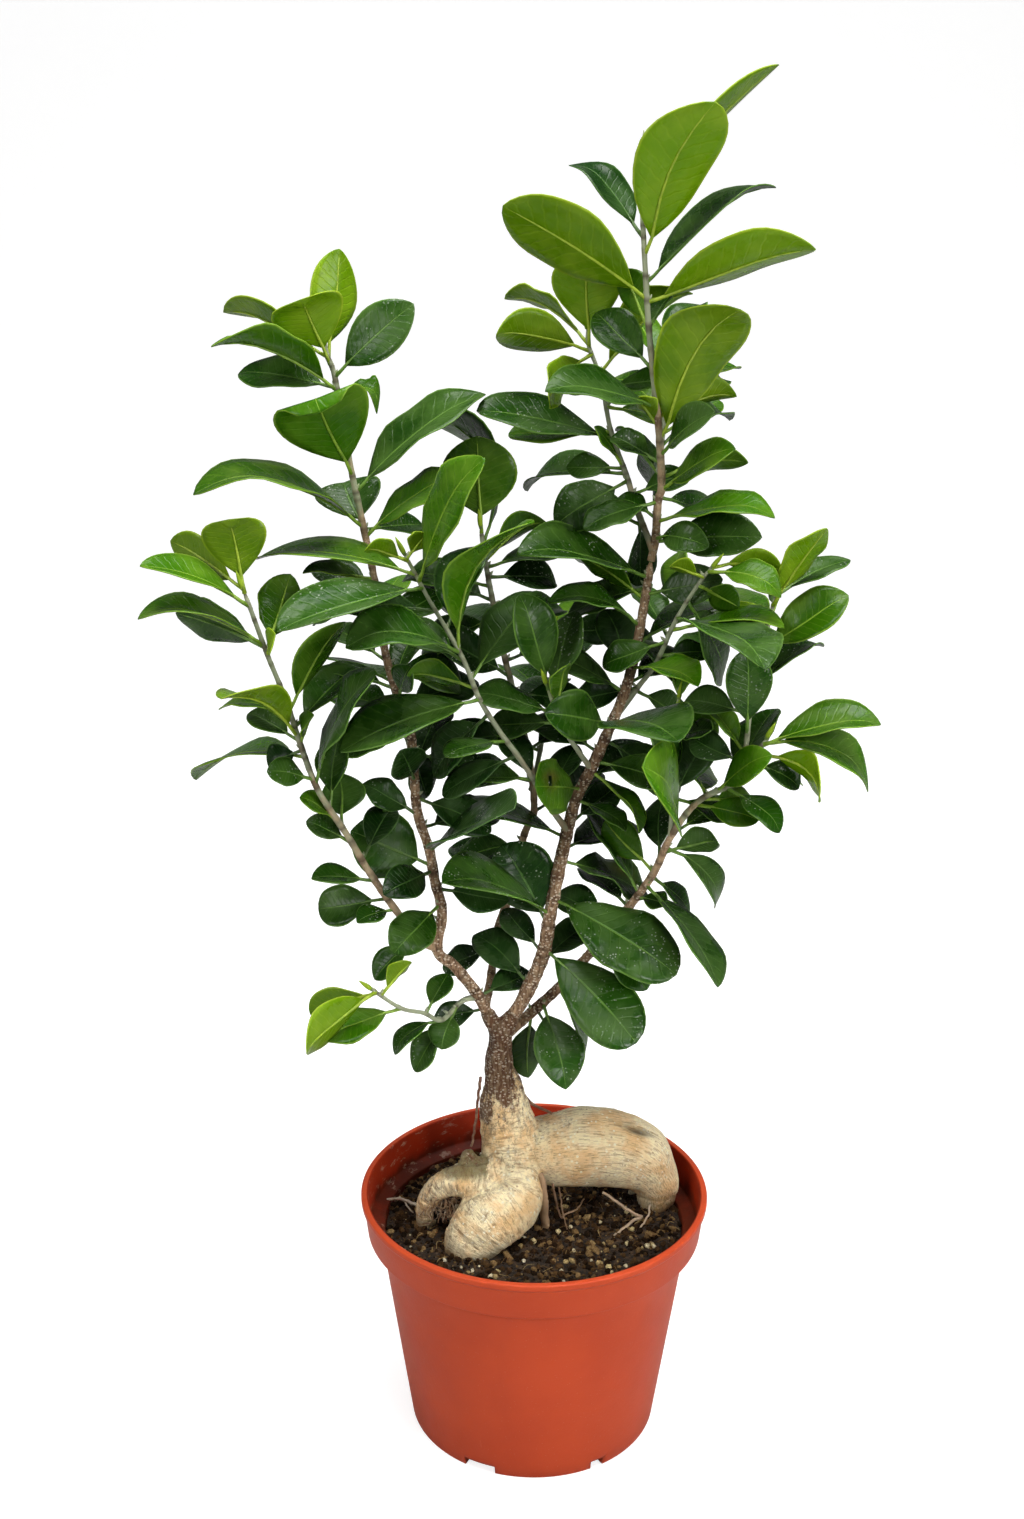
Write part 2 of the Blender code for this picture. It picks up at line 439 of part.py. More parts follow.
def grow_apart(rounds=70):
    """Leaves that cross one another, or a stem, part: the nearer leans forward and the farther back."""
    stems = {}
    for name, shoot in SHOOTS.items():
        for start, end in flushes(shoot):
            bm = bmesh.new()
            add_tube(bm, flush_rings(shoot, start, end, 6, 0.6))
            stems[name, start] = BVHTree.FromBMesh(bm)
            bm.free()
    for index, rows in enumerate(ROOTS):
        bm = bmesh.new()
        add_tube(bm, root_rings(rows, 0.6))
        stems["rootstock", index] = BVHTree.FromBMesh(bm)
        bm.free()
    leaves = [leaf for shoot in SHOOTS.values() for leaf in shoot["leaves"]]
    for leaf in leaves:
        leaf["tree"] = blade_tree(leaf)
    moved = set(range(len(leaves)))
    for turn in range(rounds):
        pushes = [0.0] * len(leaves)
        for first, leaf in enumerate(leaves):
            centre = leaf["foot"] + leaf["along"] * leaf["long"] * 0.6
            for second in range(first + 1, len(leaves)):
                other = leaves[second]
                apart = other["foot"] + other["along"] * other["long"] * 0.6 - centre
                if apart.length > 0.6 * (leaf["long"] + other["long"]):
                    continue
                if leaf["tree"].overlap(other["tree"]):
                    front = 1 if apart.dot(leaf["near"]) < 0 else -1
                    pushes[first] += front
                    pushes[second] -= front
            for grown, stem in stems.items():
                if grown == leaf["flush"] or not leaf["tree"].overlap(stem):
                    continue
                nearest = stem.find_nearest(centre)[0]
                pushes[first] += 1 if (centre - nearest).dot(leaf["near"]) > 0 else -1
        moved = {index for index, push in enumerate(pushes) if push}
        if not moved:
            break
        for index in moved:
            leaf = leaves[index]
            wanted = leaf["lean"] + max(-4, min(4, 2.5 * pushes[index]))
            leaf["lean"] = max(leaf["first"] - 40, min(leaf["first"] + 40, max(-75, min(75, wanted))))
            aim(leaf)
            leaf["tree"] = blade_tree(leaf)
    return len(moved)


def new_object(name, bm, colour, helper=False):
    mesh = bpy.data.meshes.new(name)
    bmesh.ops.triangulate(bm, faces=bm.faces)
    bmesh.ops.scale(bm, vec=(MM, MM, MM), verts=bm.verts)
    bm.to_mesh(mesh)
    bm.free()
    obj = bpy.data.objects.new(name, mesh)
    bpy.context.scene.collection.objects.link(obj)
    if helper:
        obj.hide_render = True
        obj.display_type = "WIRE"
        return obj
    value, roughness = COLOURS[colour]
    material = bpy.data.materials.new(name)
    material.use_nodes = True
    shader = material.node_tree.nodes["Principled BSDF"]
    shader.inputs["Base Color"].default_value = (*value, 1)
    shader.inputs["Roughness"].default_value = roughness
    mesh.materials.append(material)
    return obj


def combine(obj, other, operation):
    modifier = obj.modifiers.new(operation.lower(), "BOOLEAN")
    modifier.operation = operation
    modifier.object = other
    modifier.solver = "EXACT"
    modifier.use_self = True


def build_pot():
    profile = [
        (0, 0), (15, 0), (17, 4), (BASE_R - 6, 4), (BASE_R - 3.5, 0), (BASE_R, 0), (67, 90.5), (72.6, 91),
        (73.9, 104.5), (RIM_R, 105.6), (RIM_R, 107), (RIM_R - 1, POT_H), (RIM_R - 2.4, POT_H),
        (RIM_R - 3.6, 106.4), (70.6, 93.5), (WALL_TOP_R, WALL_TOP_Z), (WALL_LOW_R, WALL_LOW_Z),
        (BASE_R - 6, 6.2), (0, 6.2),
    ]
    bm = bmesh.new()
    rim = [bm.verts.new((radius, 0, height)) for radius, height in profile]
    edges = [bm.edges.new(pair) for pair in zip(rim, rim[1:])]
    bmesh.ops.spin(bm, geom=rim + edges, axis=(0, 0, 1), cent=(0, 0, 0), steps=36, angle=2 * math.pi)
    bmesh.ops.remove_doubles(bm, verts=bm.verts, dist=0.01)
    bmesh.ops.recalc_face_normals(bm, faces=bm.faces)
    pot = new_object("pot", bm, "pot")
    cuts = bmesh.new()
    for index in range(6):
        angle = math.radians(60 * index + 30)
        spin = Matrix.Rotation(angle, 4, "Z")
        hole = Matrix.Translation((34, 0, 5)) @ Matrix.Diagonal((4.5, 4.5, 6, 1))
        bmesh.ops.create_cone(
            cuts, cap_ends=True, segments=12, radius1=1, radius2=1, depth=2, matrix=spin @ hole)
    for angle, length in ((245, 14), (300, 6), (65, 14), (155, 14)):
        spin = Matrix.Rotation(math.radians(angle), 4, "Z")
        notch = Matrix.Translation((BASE_R - 3, 0, 0)) @ Matrix.Diagonal((12, length, 8, 1))
        bmesh.ops.create_cube(cuts, size=1, matrix=spin @ notch)
    combine(pot, new_object("pot_cuts", cuts, "pot", helper=True), "DIFFERENCE")


def root_rings(rows, extra=0.0):
    centres = [Vector(row[0]) for row in rows]
    rings = []
    for index, (centre, across, deep) in enumerate(rows):
        before, after = centres[max(index - 1, 0)], centres[min(index + 1, len(rows) - 1)]
        heading = (after - before).normalized()
        beyond = extra if index == len(rows) - 1 else 0
        rings.append(ring_of(centres[index] + heading * beyond, heading, across + extra, deep + extra, 10))
    return rings


def build_roots():
    base = bmesh.new()
    add_tube(base, root_rings(ROOTS[0]))
    roots = new_object("rootstock", base, "root")
    for index, rows in enumerate(ROOTS[1:]):
        branch = bmesh.new()
        add_tube(branch, root_rings(rows))
        combine(roots, new_object(f"root_branch_{index}", branch, "root", helper=True), "UNION")


def build_soil():
    random.seed(4)
    bm = bmesh.new()
    rings, segments = 7, 36
    rim_r = 64.2
    bmesh.ops.create_circle(bm, cap_ends=False, segments=segments, radius=9)
    for step in range(2, rings + 1):
        bmesh.ops.create_circle(bm, cap_ends=False, segments=segments, radius=rim_r * step / rings)
    rows = [bm.verts[:][index * segments:(index + 1) * segments] for index in range(rings)]
    for inner, outer in zip(rows, rows[1:]):
        for index in range(segments):
            after = (index + 1) % segments
            bm.faces.new((inner[index], outer[index], outer[after], inner[after]))
    bm.faces.new(rows[0])
    for row in rows:
        for vert in row:
            vert.co.z = SOIL_Z + random.uniform(-1.1, 1.1)
    edges = [edge for edge in bm.edges if edge.is_boundary]
    low = bmesh.ops.extrude_edge_only(bm, edges=edges)["geom"]
    for vert in [item for item in low if isinstance(item, bmesh.types.BMVert)]:
        vert.co.z = WALL_LOW_Z
        vert.co.xy = vert.co.xy.normalized() * (WALL_LOW_R - 0.6)
    for vert in rows[-1]:
        share = (vert.co.z - WALL_LOW_Z) / (WALL_TOP_Z - WALL_LOW_Z)
        vert.co.xy = vert.co.xy.normalized() * (WALL_LOW_R + (WALL_TOP_R - WALL_LOW_R) * share - 0.6)
    bottom = [edge for edge in bm.edges if edge.is_boundary]
    bmesh.ops.contextual_create(bm, geom=bottom)
    bmesh.ops.recalc_face_normals(bm, faces=bm.faces)
    soil = new_object("soil", bm, "soil")
    for index, rows in enumerate(ROOTS):
        if min(row[0][2] - row[2] for row in rows) < SOIL_Z + 4:
            cutter = bmesh.new()
            add_tube(cutter, root_rings(rows, GAP + 0.15))
            combine(soil, new_object(f"soil_cut_{index}", cutter, "soil", helper=True), "DIFFERENCE")


def build_shoots():
    for name, shoot in SHOOTS.items():
        for index, (start, end) in enumerate(flushes(shoot)):
            own = [leaf for leaf in shoot["leaves"] if leaf["flush"] == (name, start)]
            label = f"{name}_{index + 1}" if shoot["cuts"] else name
            age = sorted(leaf["age"] for leaf in own)[len(own) // 2]
            wood = "bark" if name in ("left", "right", "low_right") and index == 0 else None
            bm = bmesh.new()
            add_tube(bm, flush_rings(shoot, start, end, 8 if shoot["girth"][0] > 2.5 else 6))
            piece = new_object(label, bm, wood or ("young", "green", "dark", "dark")[age])
            blades = bmesh.new()
            for leaf in own:
                add_leaf(blades, leaf, LEAF_HALF)
            combine(piece, new_object(f"{label}_blades", blades, "green", helper=True), "UNION")


for leftover in list(bpy.data.objects):
    bpy.data.objects.remove(leftover)
plan()
print("leaves still touching:", grow_apart())
build_pot()
build_soil()
build_roots()
build_shoots()
print("leaves:", sum(len(shoot["leaves"]) for shoot in SHOOTS.values()))
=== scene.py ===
# Ginseng ficus in its grower's pot: the looks, built round its CAD frame
import json
import math
import random

import bmesh
import bpy
from mathutils import Matrix, Vector, noise
from mathutils.bvhtree import BVHTree
from mathutils.kdtree import KDTree

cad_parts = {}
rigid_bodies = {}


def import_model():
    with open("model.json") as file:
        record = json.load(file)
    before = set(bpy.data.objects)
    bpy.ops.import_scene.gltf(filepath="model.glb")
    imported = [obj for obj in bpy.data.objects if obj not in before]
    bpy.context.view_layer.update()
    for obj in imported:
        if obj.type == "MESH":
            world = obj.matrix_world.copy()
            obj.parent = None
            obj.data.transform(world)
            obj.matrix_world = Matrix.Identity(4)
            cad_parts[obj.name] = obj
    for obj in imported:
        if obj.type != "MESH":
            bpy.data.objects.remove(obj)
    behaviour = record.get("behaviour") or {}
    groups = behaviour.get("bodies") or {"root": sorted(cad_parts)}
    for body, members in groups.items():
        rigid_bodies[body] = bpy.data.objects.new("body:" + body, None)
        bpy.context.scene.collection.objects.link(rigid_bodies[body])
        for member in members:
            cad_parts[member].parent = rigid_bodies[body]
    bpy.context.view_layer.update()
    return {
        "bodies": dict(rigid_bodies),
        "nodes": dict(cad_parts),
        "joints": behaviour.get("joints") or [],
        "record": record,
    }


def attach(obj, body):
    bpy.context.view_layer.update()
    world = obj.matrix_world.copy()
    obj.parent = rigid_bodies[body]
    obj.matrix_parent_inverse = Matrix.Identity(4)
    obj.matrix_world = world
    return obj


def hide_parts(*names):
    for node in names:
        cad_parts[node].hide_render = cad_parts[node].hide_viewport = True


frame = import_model()
mm = 0.001
circle = 2 * math.pi
upward = Vector((0, 0, 1))

growth = {
    "eye": Vector((-10, -676, 513)),  # directions of growth are given square to the line from here
    "petiole": 7.0, "longest": 70.0, "gap": 0.45,
    "forward": 75, "stray": 40,  # the steepest lean of a leaf, and how far it may lean from its own
    "rounds": 70, "clear": 0.6, "push": 2.5, "most": 4,  # how leaves part: degrees for each push, and at most
    "stemSides": 6, "rootSides": 10,
}

# Each shoot: what it grows from, its route in mm, its radius at foot and end, where one flush ends and the
# next begins, and its leaves as (distance along, swing, lean, reach, shows, arch, age). Seen from the eye
# point, swing is the direction counted from the right, lean is towards (+) or away, shows is the width of
# blade in view with a minus where the underside is seen, and arch is how far the leaf bends.
shoots = {
    "left": {
        "route": [(-21, 4, 190), (-25, 2, 199), (-34, 0, 212), (-41, -2, 220), (-39, 0, 236),
                  (-42, 0, 251), (-44, 0, 264), (-49, 2, 281), (-51, 4, 311), (-57, 5, 330), (-61, 5, 346),
                  (-64, 5, 371), (-69, 5, 398), (-73, 5, 419), (-78, 5, 452), (-81, 5, 461), (-82, 4, 469)],
        "girth": (2.4, 0.9), "cuts": [88, 138, 204, 256],
        "leaves": [
            (8, 24, -25, 26, 12, 10, 3), (49, 203, -15, 21, 8, 10, 2), (57, 225, 35, 26, 18, 10, 2),
            (64, 350, -25, 30, 14, 10, 3), (71, 191, -20, 19, 15, 10, 3), (72, 203, 50, 20, 15, 15, 3),
            (74, 155, 20, 36, 28, 10, 2), (81, 24, 20, 36, 9, 15, 3), (91, 12, -30, 34, 15, 10, 3),
            (96, 147, 20, 26, 12, 10, 3), (104, 335, -20, 34, 15, 10, 3), (111, 113, 60, 12, 16, 20, 3),
            (116, 62, -30, 30, 13, 10, 3), (123, 340, 15, 34, 14, 15, 3), (130, 190, 10, 35, 13, 15, 2),
            (142, 20, -25, 34, 15, 10, 3), (146, 73, 55, 12, 10, 0, 2), (150, 165, -10, 31, 7, 20, 2),
            (153, 160, -35, 32, 4, 10, 2), (160, 345, -30, 34, 15, 10, 2), (176, 30, -25, 30, 13, 10, 2),
            (186, 150, -30, 30, 13, 10, 2), (195, 171, 10, 28, 5, 10, 1), (212, 35, 10, 45, 11, 30, 1),
            (214, 111, -35, 22, 26, 10, 2), (215, 5, -40, 24, 10, 10, 2), (216, 162, 20, 65, 7, 50, 1),
            (230, 38, 0, 63, 14, 25, 2), (236, 113, 25, 36, -37, 10, 1), (267, 358, 30, 18, 5, 80, 1),
            (269, 157, 20, 49, -8, 40, 1), (270, 170, -25, 38, 13, 15, 2), (274, 42, 15, 40, 19, 25, 2),
            (279, 112, 10, 27, -28, 15, 0), (281, 83, -10, 41, -18, 15, 0), (282, 152, -20, 43, -5, 10, 0)],
    },
    "far_left": {
        "from": "left",
        "route": [(-41, -2, 221), (-48, -5, 226), (-58, -10, 242), (-68, -14, 260), (-76, -18, 277),
                  (-86, -22, 296), (-92, -24, 315), (-97, -26, 334), (-103, -28, 352), (-109, -30, 372),
                  (-111, -30, 378)],
        "girth": (1.6, 0.8), "cuts": [60, 88, 137],
        "leaves": [
            (11, 224, -10, 25, 11, 15, 2), (28, 195, 20, 16, 8, 20, 2), (34, 187, -10, 29, 17, 10, 2),
            (44, 175, 25, 25, 8, 10, 2), (55, 60, -25, 26, 13, 10, 3), (64, 150, 10, 20, 9, 10, 2),
            (72, 92, -25, 22, -18, 10, 2), (76, 144, 20, 17, 7, 10, 1), (82, 81, -10, 29, 13, 10, 2),
            (94, 61, 15, 47, 8, 30, 2), (96, 168, 25, 18, 11, 20, 2), (106, 185, -15, 46, 6, 35, 1),
            (109, 200, -30, 15, 12, 15, 3), (112, 66, 35, 12, 3, 10, 1), (113, 148, -30, 23, 11, 10, 2),
            (115, 152, 20, 31, -9, 60, 0), (119, 43, -25, 34, 14, 10, 2), (122, 168, 5, 29, 6, 60, 1),
            (126, 58, 15, 40, -11, 15, 1), (150, 71, 50, 8, 4, 10, 0), (151, 72, -15, 31, -17, 10, 1),
            (153, 157, -14, 36, -14, 20, 2), (154, 161, 12, 47, 6, 40, 1), (170, 158, 15, 42, 8, 35, 1),
            (175, 99, 10, 28, -24, 15, 0), (177, 143, -25, 32, -13, 10, 0)],
    },
    "right": {
        "route": [(-9, 5, 188), (-5, 5, 195), (3, 5, 215), (6, 6, 234), (11, 8, 261), (16, 8, 283),
                  (22, 8, 296), (29, 8, 313), (35, 8, 329), (39, 8, 346), (42, 8, 366), (44, 8, 382)],
        "girth": (3.0, 1.6), "cuts": [92, 139],
        "leaves": [
            (15, 138, -20, 33, 16, 40, 3), (26, 38, -30, 28, 14, 10, 3), (30, 130, -25, 26, 12, 10, 3),
            (33, 315, 15, 54, 27, 15, 2), (43, 120, -15, 38, 27, 10, 3), (48, 159, 10, 43, 11, 20, 2),
            (55, 330, 20, 58, 27, 15, 2), (64, 170, -35, 34, 15, 10, 3), (72, 337, -10, 43, 12, 20, 2),
            (77, 20, -30, 32, 14, 10, 3), (82, 164, 5, 56, 9, 20, 2), (88, 40, -25, 26, 13, 10, 3),
            (99, 334, 20, 24, 7, 20, 2), (104, 178, 55, 18, 22, 20, 3), (108, 30, -25, 30, 13, 10, 3),
            (113, 315, 10, 33, 5, 20, 1), (117, 345, 30, 32, 14, 20, 2), (121, 150, -30, 32, 14, 10, 3),
            (127, 328, -30, 38, 17, 15, 3), (134, 171, 45, 25, 20, 10, 2), (135, 352, 30, 34, 14, 15, 2),
            (148, 152, 20, 37, 11, 20, 2), (152, 22, -5, 28, 10, 15, 2), (157, 113, -20, 29, 16, 10, 3),
            (159, 351, 45, 26, 8, 20, 1), (161, 121, -35, 30, 8, 10, 2), (169, 16, 5, 52, 7, 40, 2),
            (176, 163, -10, 37, 7, 60, 2), (187, 147, 20, 31, -9, 20, 1), (188, 153, -30, 36, 4, 10, 2),
            (189, 13, 30, 30, 16, 15, 2), (192, 200, -25, 34, 12, 10, 2), (196, 166, 15, 50, 12, 15, 2)],
    },
    "top_right": {  # goes on from the end of right
        "route": [(44, 8, 382), (45.5, 8, 390), (46, 6, 406), (47, 4, 412), (45, 0, 434), (40, -4, 471),
                  (37, -6, 504), (36, -6, 519), (36, -7, 541)],
        "girth": (1.6, 0.7), "cuts": [70],
        "leaves": [
            (8, 3, 5, 41, 18, 10, 2), (9, 354, 40, 20, 12, 80, 2), (16, 10, 15, 45, 8, 20, 1),
            (17, 154, 10, 18, 7, 40, 2), (24, 200, 10, 30, 10, 15, 2), (26, 345, -20, 30, 10, 10, 2),
            (29, 34, 35, 31, 10, 10, 1), (34, 13, -10, 34, -9, 40, 1), (35, 131, -30, 26, 5, 0, 2),
            (40, 151, -20, 22, 9, 10, 2), (43, 40, 45, 25, 10, 20, 2), (46, 28, -35, 31, 11, 60, 2),
            (49, 62, 15, 58, -28, 10, 0), (54, 129, 30, 15, -7, 20, 0), (58, 20, -25, 31, -9, 20, 0),
            (62, 168, 27, 40, 11, 15, 2), (67, 20, -30, 34, 9, 10, 1), (76, 135, -35, 32, 16, 10, 2),
            (91, 118, -30, 24, -12, 10, 1), (92, 59, -45, 13, 6, 0, 2), (101, 20, 10, 63, -15, 0, 0),
            (102, 149, 10, 62, -24, 25, 0), (108, 43, -15, 60, 8, 8, 2), (118, 66, 22, 56, -27, 10, 0),
            (124, 131, -20, 40, 11, 10, 3), (136, 46, -14, 68, -6, 8, 0)],
    },
    "top_left": {
        "from": "top_right",
        "route": [(45, 8, 386), (41, 12, 395), (37, 14, 405), (35, 18, 412), (28, 22, 431), (24, 25, 450),
                  (19, 26, 463), (18, 26, 470)],
        "girth": (1.3, 0.7), "cuts": [58],
        "leaves": [
            (11, 160, -25, 34, 13, 10, 2), (15, 272, -25, 28, 12, 10, 3), (20, 200, -10, 28, 10, 15, 2),
            (24, 20, -25, 24, 10, 10, 2), (30, 211, 20, 33, 19, 20, 2), (33, 183, -30, 43, 10, 15, 2),
            (35, 179, -10, 23, 10, 10, 2), (36, 126, 10, 19, 5, 10, 1), (47, 168, 15, 54, 14, 15, 2),
            (50, 182, -15, 41, 10, 10, 1), (60, 350, -15, 26, 9, 10, 1), (65, 170, 25, 21, 8, 20, 2),
            (67, 9, 20, 26, 8, 15, 2), (73, 47, 18, 48, -12, 12, 0), (81, 225, 35, 24, -13, 40, 0),
            (82, 168, 15, 38, -17, 45, 0), (84, 92, 25, 33, -27, 20, 0), (85, 148, -25, 38, -4, 40, 0)],
    },
    "crossing": {
        "from": "right",
        "route": [(13, 8, 269), (4, 0, 284), (-1, -6, 295), (-8, -10, 307), (-15, -14, 318),
                  (-23, -16, 332), (-30, -18, 350), (-42, -20, 372), (-47, -21, 382), (-51, -22, 390)],
        "girth": (1.3, 0.7), "cuts": [92],
        "leaves": [
            (22, 60, -30, 26, 12, 10, 3), (30, 120, -20, 28, 12, 10, 3), (34, 178, -15, 24, 8, 20, 2),
            (48, 208, -20, 34, 11, 10, 3), (56, 191, 15, 24, 7, 20, 2), (70, 228, -20, 34, 15, 15, 3),
            (77, 200, 20, 56, 17, 20, 2), (82, 165, -20, 27, -9, 20, 1), (86, 53, -10, 46, 19, 15, 2),
            (94, 150, -30, 30, 13, 10, 2), (98, 172, 30, 41, 14, 40, 2), (99, 58, 20, 54, -10, 80, 1),
            (108, 70, -25, 40, 17, 10, 3), (117, 181, -10, 49, 11, 20, 3), (127, 195, 25, 55, 14, 20, 2),
            (130, 65, 15, 49, 14, 15, 1), (133, 172, -20, 62, 9, 25, 1), (139, 161, 20, 17, -7, 10, 0),
            (140, 52, 25, 12, -7, 10, 0)],
    },
    "middle": {
        "from": "trunk",
        "route": [(-15, 6, 177), (-21, 12, 184), (-19, 18, 199), (-16, 24, 219), (-12, 26, 231),
                  (-5, 26, 261), (-1, 24, 272), (-3, 22, 295), (-9, 20, 322), (-15, 18, 347),
                  (-21, 15, 379), (-23, 14, 394)],
        "girth": (1.9, 0.9), "cuts": [125],
        "leaves": [
            (14, 194, -20, 24, 12, 10, 3), (40, 200, -30, 25, 12, 10, 3), (48, 35, 20, 10, -6, 10, 0),
            (60, 150, -35, 28, 14, 10, 3), (68, 20, -40, 24, 12, 10, 3), (76, 160, -25, 30, 14, 10, 3),
            (89, 198, -10, 32, 14, 10, 2), (104, 30, -30, 34, 15, 10, 3), (118, 170, -20, 34, 15, 10, 3),
            (132, 30, -30, 32, 14, 10, 3), (140, 190, -15, 36, 15, 15, 3), (150, 40, -50, 26, 12, 10, 3),
            (158, 350, -20, 32, 14, 10, 3), (165, 150, 5, 34, 15, 15, 3), (172, 20, -25, 34, 14, 10, 3),
            (180, 145, -45, 28, 13, 10, 3), (186, 20, -30, 30, 13, 10, 3), (190, 200, -25, 34, 14, 15, 2),
            (196, 330, -15, 30, 13, 10, 3), (198, 160, -35, 30, 13, 10, 3), (204, 170, -20, 38, 12, 15, 2),
            (208, 0, -25, 30, 13, 10, 3), (212, 13, -20, 40, 9, 15, 2), (215, 36, -10, 29, -9, 30, 1),
            (221, 113, -10, 62, -5, 100, 2), (226, 92, -5, 38, -30, 10, 1)],
    },
    "centre_twig": {
        "from": "right",
        "route": [(22, 8, 296), (12, -2, 313), (7, -8, 325), (3, -12, 337)],
        "girth": (1.1, 0.7), "cuts": [],
        "leaves": [
            (30, 183, -20, 29, 13, 10, 2), (34, 163, 20, 34, 11, 15, 2),
            (36, 82, 30, 20, -7, 10, 1), (42, 77, -15, 37, 15, 10, 2), (47, 105, 10, 38, 17, 15, 2)],
    },
    "right_thin": {
        "from": "right",
        "route": [(32, 8, 321), (41, 10, 331), (47, 4, 342), (54, -4, 362), (62, -8, 377), (66, -10, 383)],
        "girth": (1.1, 0.7), "cuts": [],
        "leaves": [
            (12, 193, -25, 26, 13, 10, 3), (31, 5, -30, 20, 9, 10, 2), (38, 200, -25, 28, 12, 10, 2),
            (44, 8, 10, 43, 5, 15, 1), (50, 340, 20, 47, 10, 10, 2), (58, 300, -25, 36, 14, 15, 2),
            (66, 335, -25, 18, -11, 10, 1), (70, 160, 10, 14, -6, 10, 0), (73, 347, 20, 29, 11, 45, 1),
            (75, 0, -10, 27, -10, 60, 0)],
    },
    "low_right": {
        "from": "trunk",
        "route": [(-14, 7, 176), (-7, 12, 180), (11, 12, 198), (31, 6, 226), (47, 0, 252), (54, -8, 273),
                  (64, -14, 290), (80, -20, 301), (84, -22, 310), (88, -24, 319)],
        "girth": (2.3, 0.9), "cuts": [80, 124],
        "leaves": [
            (17, 267, -15, 28, -14, 15, 2), (20, 300, -25, 26, 12, 10, 3), (24, 287, 20, 37, 21, 10, 2),
            (34, 294, -20, 33, 5, 10, 2), (50, 60, -25, 28, 13, 10, 3), (65, 313, 15, 28, 14, 10, 2),
            (72, 150, -20, 30, 14, 10, 3), (84, 140, -25, 26, 12, 10, 3), (90, 347, 20, 13, 8, 10, 2),
            (92, 124, -10, 40, 9, 15, 2), (97, 309, 20, 50, 10, 20, 2), (102, 320, -35, 22, 8, 10, 2),
            (104, 135, -10, 29, -14, 15, 1), (110, 88, -25, 28, 13, 10, 3), (115, 17, 20, 24, -11, 15, 2),
            (118, 317, -10, 33, 11, 80, 2), (127, 30, -30, 30, 12, 10, 2), (130, 111, 30, 36, 9, 10, 1),
            (143, 350, 15, 25, 12, 20, 1), (147, 359, -30, 24, 7, 10, 1), (149, 123, -35, 32, 13, 10, 1),
            (152, 40, 25, 26, 12, 10, 1), (158, 327, 20, 27, 10, 20, 2), (162, 65, -35, 34, 14, 10, 2),
            (172, 347, -15, 22, 7, 30, 1), (174, 335, 5, 21, 10, 30, 2), (178, 327, 10, 30, -10, 90, 0),
            (182, 17, 5, 46, 12, 25, 1), (183, 343, -5, 46, 13, 80, 1)],
    },
    "right_shoot": {
        "from": "low_right",
        "route": [(80, -20, 301), (82, -16, 323), (84, -12, 342), (88, -10, 357), (91, -10, 373)],
        "girth": (1.1, 0.7), "cuts": [],
        "leaves": [
            (6, 155, -25, 24, 12, 10, 3), (10, 129, -20, 24, 8, 10, 1), (17, 92, 20, 33, 18, 10, 2),
            (26, 170, -20, 28, 12, 10, 2), (36, 40, -25, 34, 9, 10, 2), (44, 113, -15, 28, -20, 10, 0),
            (50, 38, 10, 40, 17, 10, 1), (54, 23, -30, 23, 7, 20, 2), (60, 140, -20, 28, 12, 10, 1),
            (65, 67, -40, 22, 5, 10, 1), (69, 58, 10, 35, -11, 20, 0), (73, 28, -10, 32, 9, 20, 2)],
    },
    "inner": {
        "from": "low_right",
        "route": [(54, -8, 273), (54, -6, 288), (52, -4, 300), (54, -2, 314), (56, 0, 328)],
        "girth": (1.1, 0.7), "cuts": [],
        "leaves": [
            (12, 103, 15, 37, 11, 10, 2), (14, 66, 5, 34, 16, 10, 3), (16, 343, 20, 28, 8, 10, 2),
            (34, 40, -15, 28, 12, 10, 2), (40, 14, 25, 16, 7, 10, 2),
            (50, 340, -10, 19, 9, 10, 1), (54, 80, -20, 15, 6, 10, 1), (58, 120, -10, 30, 12, 10, 2)],
    },
    "low_left": {
        "from": "left",
        "route": [(-24, 2, 197), (-31, 0, 196), (-39, -12, 193), (-46, -18, 199), (-55, -26, 205),
                  (-66, -32, 216)],
        "girth": (1.1, 0.7), "cuts": [],
        "leaves": [
            (12, 250, 25, 18, 13, 10, 2), (17, 239, -10, 28, 11, 10, 2), (22, 210, 15, 24, 7, 60, 2),
            (32, 60, -20, 19, 10, 10, 2), (46, 197, 20, 36, 14, 15, 1), (58, 47, 10, 18, -6, 10, 0),
            (60, 192, -20, 28, -11, 10, 0), (61, 216, 15, 36, -13, 15, 0)],
    },
    "back_left": {
        "from": "left",
        "route": [(-51, 4, 305), (-57, 20, 318), (-64, 36, 338), (-70, 48, 362)],
        "girth": (1.1, 0.7), "cuts": [],
        "leaves": [
            (7, 288, -35, 27, 13, 10, 3), (20, 165, -40, 30, 12, 10, 2), (32, 65, -45, 26, 12, 15, 2),
            (44, 150, -35, 30, 11, 20, 2), (52, 20, -40, 24, 12, 10, 2), (58, 120, -30, 26, 12, 15, 1),
            (62, 60, -55, 22, 13, 15, 1)],
    },
    "back_centre": {
        "from": "middle",
        "route": [(-2, 23, 282), (2, 40, 296), (6, 56, 318), (8, 68, 342)],
        "girth": (1.1, 0.7), "cuts": [],
        "leaves": [
            (20, 160, -40, 26, 12, 10, 2), (32, 30, -45, 28, 13, 15, 2), (44, 140, -50, 26, 12, 15, 2),
            (54, 50, -40, 26, 12, 10, 2), (64, 110, -45, 28, 14, 15, 1), (69, 60, -30, 26, 11, 10, 1),
            (74, 5, -10, 28, 14, 10, 3)],
    },
    "back_right": {
        "from": "right",
        "route": [(30, 8, 316), (40, 24, 324), (52, 42, 336), (60, 56, 354)],
        "girth": (1.1, 0.7), "cuts": [],
        "leaves": [
            (22, 330, -40, 26, 12, 15, 2), (32, 110, -45, 26, 12, 10, 2), (44, 10, -40, 28, 13, 15, 2),
            (54, 120, -40, 26, 12, 10, 2), (62, 40, -45, 28, 14, 15, 1), (66, 90, -30, 28, 11, 10, 1)],
    },
    "back_top": {
